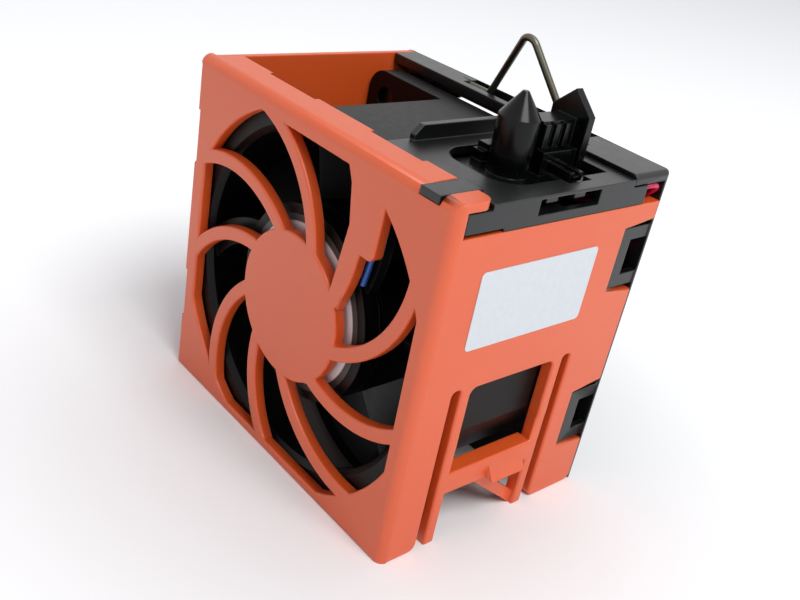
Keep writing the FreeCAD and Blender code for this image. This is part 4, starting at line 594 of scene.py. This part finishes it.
def buildWindings(look):
    inputs = {"Teeth": look["teeth"], "Turns": look["turns"], "Wire": look["wire"],
              "Pitch": look["reach"] / look["turns"]}
    tree, given, result = newTree("windingsOnTeeth", inputs)
    # a little under half the wire, so that neighbouring turns stay apart
    half = addNode(tree, "ShaderNodeMath", {"operation": "MULTIPLY"}, {1: look["wireShare"]},
                   {0: given.outputs["Wire"]})
    section = addNode(tree, "GeometryNodeCurvePrimitiveCircle", {"mode": "RADIUS"},
                      {"Resolution": look["wireSides"]}, {"Radius": half.outputs["Value"]})
    layers = addNode(tree, "GeometryNodeJoinGeometry")
    for layer in range(look["layers"]):
        growth = look["wire"] * (2 * layer + 1)  # each layer lies outside the last, with wider corners
        loop = addNode(tree, "GeometryNodeCurvePrimitiveQuadrilateral", {"mode": "RECTANGLE"},
                       {"Width": look["innerWidth"] + growth, "Height": look["innerLength"] + growth})
        rounded = addNode(tree, "GeometryNodeFilletCurve", {"mode": "POLY"},
                          {"Count": look["cornerSteps"], "Radius": look["corner"] + growth / 4},
                          {"Curve": loop.outputs["Curve"]})
        tree.links.new(rounded.outputs["Curve"], layers.inputs["Geometry"])
    wire = addNode(tree, "GeometryNodeCurveToMesh",
                   links={"Curve": layers.outputs["Geometry"], "Profile Curve": section.outputs["Curve"]})
    step = addNode(tree, "ShaderNodeCombineXYZ", links={"Z": given.outputs["Pitch"]})
    first = addNode(tree, "ShaderNodeMath", {"operation": "MULTIPLY_ADD"}, {1: 0.5, 2: look["start"]},
                    {0: given.outputs["Pitch"]})
    base = addNode(tree, "ShaderNodeCombineXYZ", values={"Y": look["middle"]},
                   links={"Z": first.outputs["Value"]})
    line = addNode(tree, "GeometryNodeMeshLine", {"mode": "OFFSET"},
                   links={"Count": given.outputs["Turns"], "Offset": step.outputs["Vector"],
                          "Start Location": base.outputs["Vector"]})
    stack = addNode(tree, "GeometryNodeInstanceOnPoints",
                    links={"Points": line.outputs["Mesh"], "Instance": wire.outputs["Mesh"]})
    coil = addNode(tree, "GeometryNodeRealizeInstances", links={"Geometry": stack.outputs["Instances"]})
    points = addNode(tree, "GeometryNodePoints", links={"Count": given.outputs["Teeth"]})
    pitch = addNode(tree, "ShaderNodeMath", {"operation": "DIVIDE"}, {0: 2 * math.pi},
                    {1: given.outputs["Teeth"]})
    number = addNode(tree, "GeometryNodeInputIndex")
    angle = addNode(tree, "ShaderNodeMath", {"operation": "MULTIPLY"},
                    links={0: number.outputs["Index"], 1: pitch.outputs["Value"]})
    turn = addNode(tree, "ShaderNodeCombineXYZ", links={"Y": angle.outputs["Value"]})
    coils = addNode(tree, "GeometryNodeInstanceOnPoints",
                    links={"Points": points.outputs["Points"], "Instance": coil.outputs["Geometry"],
                           "Rotation": turn.outputs["Vector"]})
    solid = addNode(tree, "GeometryNodeRealizeInstances", links={"Geometry": coils.outputs["Instances"]})
    raised = addNode(tree, "GeometryNodeTransform", values={"Translation": (0, 0, fanAxis)},
                     links={"Geometry": solid.outputs["Geometry"]})
    coated = addNode(tree, "GeometryNodeSetMaterial", values={"Material": copperWire},
                     links={"Geometry": raised.outputs["Geometry"]})
    tree.links.new(coated.outputs["Geometry"], result.inputs["Geometry"])
    mesh = runTree(tree, bpy.data.meshes.new("windingSeed"), inputs)
    mesh.shade_smooth()
    newPiece("copperWindings", mesh, copperWire, "module", "stator_coils")


buildWindings(windingLook)
print("windings ready")

# Rounded mouldings: merged copies of the orange shells and the rear frame with their outer edges rounded.
# Side edges at the hinge gap and above wallTop stay sharp.
edgeLook = {"side": 32.55 * mm, "front": -23.87 * mm, "wallTop": 42 * mm, "inPlane": 0.02 * mm,
            "sideRound": 0.4 * mm, "steps": 3, "sharpFrom": 50, "flatAngle": 0.4, "smoothAngle": 31,
            "hingeLow": 20.3 * mm, "hingeHigh": 20.7 * mm, "frameTop": 62.3 * mm, "frameSide": 32.3 * mm,
            "frameRear": 22.7 * mm, "frameRound": 0.8 * mm, "frameSmoothAngle": 35,
            "pocketLow": (29.6 * mm, 18.1 * mm, 59.0 * mm), "pocketHigh": (33.0 * mm, 22.62 * mm, 60.55 * mm)}


def joinFlatFaces(shape, look):
    bmesh.ops.dissolve_limit(shape, angle_limit=math.radians(look["flatAngle"]), verts=shape.verts,
                             edges=shape.edges)


def cadShape(name, look):
    shape = bmesh.new()
    shape.from_mesh(nodes[name].data)
    bmesh.ops.remove_doubles(shape, verts=shape.verts, dist=mergeReach)
    joinFlatFaces(shape, look)
    return shape


def roundEdges(shape, look, radius, wanted):
    chosen = [edge for edge in shape.edges if len(edge.link_faces) == 2 and edge.is_convex
              and edge.calc_face_angle() > math.radians(look["sharpFrom"]) and wanted(edge)]
    bmesh.ops.bevel(shape, geom=chosen, offset=radius, offset_type="OFFSET", segments=look["steps"],
                    profile=0.5, affect="EDGES", clamp_overlap=False)
    print("rounded", len(chosen), "edges")


def roundShells(look):
    def outside(edge):
        spots = [vert.co for vert in edge.verts]
        level = all(abs(abs(spot.x) - look["side"]) < look["inPlane"] for spot in spots)
        atHinge = all(look["hingeLow"] < spot.z < look["hingeHigh"] for spot in spots)
        return level and not atHinge and max(spot.z for spot in spots) < look["wallTop"]

    def inFront(edge):
        return all(abs(vert.co.y - look["front"]) < look["inPlane"] for vert in edge.verts)

    for name, body in (("shroud", "module"), ("right_latch", "right_latch"), ("left_latch", "left_latch")):
        shape = cadShape(name, look)
        roundEdges(shape, look, look["sideRound"], outside)
        roundEdges(shape, look, look["sideRound"], inFront)
        mesh = toMesh(name + "Moulding", shape, look["smoothAngle"])
        newPiece(name + "Moulding", mesh, orangeAbs, body, name)


# the rear frame also gets the pocket under its bar where the red lead shows
def roundFrame(look):
    holder = bpy.data.objects.new("frameHolder", toMesh("frameSeed", cadShape("rear_frame", look)))
    shape = bmesh.new()
    low, high = Vector(look["pocketLow"]), Vector(look["pocketHigh"])
    block = Matrix.Translation((low + high) / 2) @ Matrix.Diagonal((*(high - low), 1))
    bmesh.ops.create_cube(shape, size=1, matrix=block)
    cutter = bpy.data.objects.new("pocketCutter", toMesh("pocketCutter", shape))
    for part in (cutter, holder):
        scene.collection.objects.link(part)
    cut = holder.modifiers.new("pocket", "BOOLEAN")
    cut.operation = "DIFFERENCE"
    cut.solver = "EXACT"
    cut.object = cutter
    result = bpy.data.meshes.new_from_object(holder.evaluated_get(bpy.context.evaluated_depsgraph_get()))
    for part in (cutter, holder):
        bpy.data.objects.remove(part)
    shape = bmesh.new()
    shape.from_mesh(result)
    joinFlatFaces(shape, look)

    def topRim(edge):
        spots = [vert.co for vert in edge.verts]
        level = all(abs(spot.z - look["frameTop"]) < look["inPlane"] for spot in spots)
        outer = all(abs(spot.x) > look["frameSide"] or spot.y > look["frameRear"] for spot in spots)
        return level and outer

    roundEdges(shape, look, look["frameRound"], topRim)
    mesh = toMesh("rearFrameMoulding", shape, look["frameSmoothAngle"])
    newPiece("rearFrameMoulding", mesh, blackPbt, "module", "rear_frame")


roundShells(edgeLook)
roundFrame(edgeLook)
print("rounded mouldings ready")

# Flexing part of each latch leg: the leg's section carried over the hinge as one strip.
# It stands a little proud of the leg, and its ends sink into it.
flexLook = {"inner": 30.3 * mm, "outer": 32.55 * mm, "low": 18.4 * mm, "high": 22.6 * mm, "proud": 0.02 * mm,
            "sunk": 0.08 * mm, "taper": 0.8 * mm, "rows": 14, "round": 0.4 * mm, "roundSteps": 3,
            "legs": ((-14.25 * mm, -12.15 * mm), (6.95 * mm, 9.05 * mm)), "hinge": 20.5 * mm,
            "turnReach": 1.2 * mm, "smoothAngle": 31}


def legSection(look, front, rear, proud):
    inner, outer, curve = look["inner"] - proud, look["outer"] + proud, look["round"]
    section = [(inner, front - proud)]
    for start, centre in ((-90, front - proud + curve), (0, rear + proud - curve)):
        for step in range(look["roundSteps"] + 1):
            turn = math.radians(start + 90 * step / look["roundSteps"])
            section.append((outer - curve * (1 - math.cos(turn)), centre + curve * math.sin(turn)))
    return section + [(inner, rear + proud)]


def buildFlexLegs(look):
    for side, latch in ((1, "right_latch"), (-1, "left_latch")):
        for number, (front, rear) in enumerate(look["legs"], start=1):
            shape = bmesh.new()
            rings = []
            for row in range(look["rows"] + 1):
                z = look["low"] + (look["high"] - look["low"]) * row / look["rows"]
                share = min(1, (z - look["low"]) / look["taper"], (look["high"] - z) / look["taper"])
                proud = look["proud"] * share - look["sunk"] * (1 - share)
                section = legSection(look, front, rear, proud)
                rings.append([shape.verts.new((side * x, y, z)) for x, y in section])
            for low, high in zip(rings, rings[1:]):
                for corners in zip(low, low[1:] + low[:1], high[1:] + high[:1], high):
                    shape.faces.new(corners)
            shape.faces.new(rings[0])
            shape.faces.new(rings[-1])
            bmesh.ops.recalc_face_normals(shape, faces=shape.faces)
            mesh = toMesh("flexLeg", shape, look["smoothAngle"])
            leg = newPiece(f"{latch}Leg{number}", mesh, orangeAbs, None)
            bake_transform(leg)


buildFlexLegs(flexLook)
print("latch legs ready")

# Stage: pale floor that whitens away from the object, two soft lamps and an even sky.
# The floor's glow holds for every ray, so it also lights the object a little.
stageLook = {"floorSize": 4.0, "floorColour": "#F4F4F4", "floorRoughness": 0.9, "floorGlow": 0.30,
             "glowStart": 0.03, "glowFull": 0.12, "skyStrength": 0.34, "skyColour": "#F1F6FF",
             "aim": (0, 0, 0.03), "keyPower": 7.6, "keySize": 0.54, "keyPlace": (0.61, -0.07, 0.87),
             "topPower": 0.45, "topSize": 0.35, "topPlace": (-0.05, 0.10, 0.55)}


def buildFloor(look):
    mesh = bpy.data.meshes.new("floor")
    half = look["floorSize"] / 2
    corners = [(-half, -half, 0), (half, -half, 0), (half, half, 0), (-half, half, 0)]
    mesh.from_pydata(corners, [], [(0, 1, 2, 3)])
    floor = bpy.data.objects.new("floor", mesh)
    scene.collection.objects.link(floor)
    material, tree, shader, place = newMaterial("floorPaper")
    shader.inputs["Base Color"].default_value = linear(look["floorColour"])
    shader.inputs["Roughness"].default_value = look["floorRoughness"]
    shader.inputs["Emission Color"].default_value = (1, 1, 1, 1)
    reach = addNode(tree, "ShaderNodeVectorMath", {"operation": "LENGTH"}, links={0: place})
    spread = addNode(tree, "ShaderNodeMapRange", {"interpolation_type": "SMOOTHSTEP"},
                     {"From Min": look["glowStart"], "From Max": look["glowFull"],
                      "To Max": look["floorGlow"]}, {"Value": reach.outputs["Value"]})
    tree.links.new(spread.outputs["Result"], shader.inputs["Emission Strength"])
    mesh.materials.append(material)


def buildSky(look):
    world = bpy.data.worlds.new("softSky")
    scene.world = world
    world.use_nodes = True
    tree = world.node_tree
    tree.nodes.clear()
    # 1 where the camera, glass or a reflection sees the sky itself, 0 where it only lights
    paths = addNode(tree, "ShaderNodeLightPath")
    direct = addNode(tree, "ShaderNodeMath", {"operation": "MAXIMUM"},
                     links={0: paths.outputs["Is Camera Ray"], 1: paths.outputs["Is Transmission Ray"]})
    seen = addNode(tree, "ShaderNodeMath", {"operation": "MAXIMUM"},
                   links={0: direct.outputs["Value"], 1: paths.outputs["Is Glossy Ray"]})
    strength = addNode(tree, "ShaderNodeMapRange", values={"To Min": look["skyStrength"], "To Max": 1.0},
                       links={"Value": seen.outputs["Value"]})
    tint = addNode(tree, "ShaderNodeMix", {"data_type": "RGBA"},
                   {colourA: linear(look["skyColour"]), colourB: (1, 1, 1, 1)},
                   {"Factor": seen.outputs["Value"]})
    sky = addNode(tree, "ShaderNodeBackground",
                  links={"Strength": strength.outputs["Result"], "Color": tint.outputs[colourOut]})
    addNode(tree, "ShaderNodeOutputWorld", links={"Surface": sky.outputs["Background"]})


def hangLamps(look):
    for name in ("key", "top"):
        lamp = bpy.data.lights.new(name, "AREA")
        lamp.energy = look[name + "Power"]
        lamp.size = look[name + "Size"]
        holder = bpy.data.objects.new(name, lamp)
        scene.collection.objects.link(holder)
        spot = Vector(look[name + "Place"])
        holder.location = spot
        holder.rotation_euler = (Vector(look["aim"]) - spot).to_track_quat("-Z", "Y").to_euler()


buildFloor(stageLook)
buildSky(stageLook)
hangLamps(stageLook)
print("stage ready")
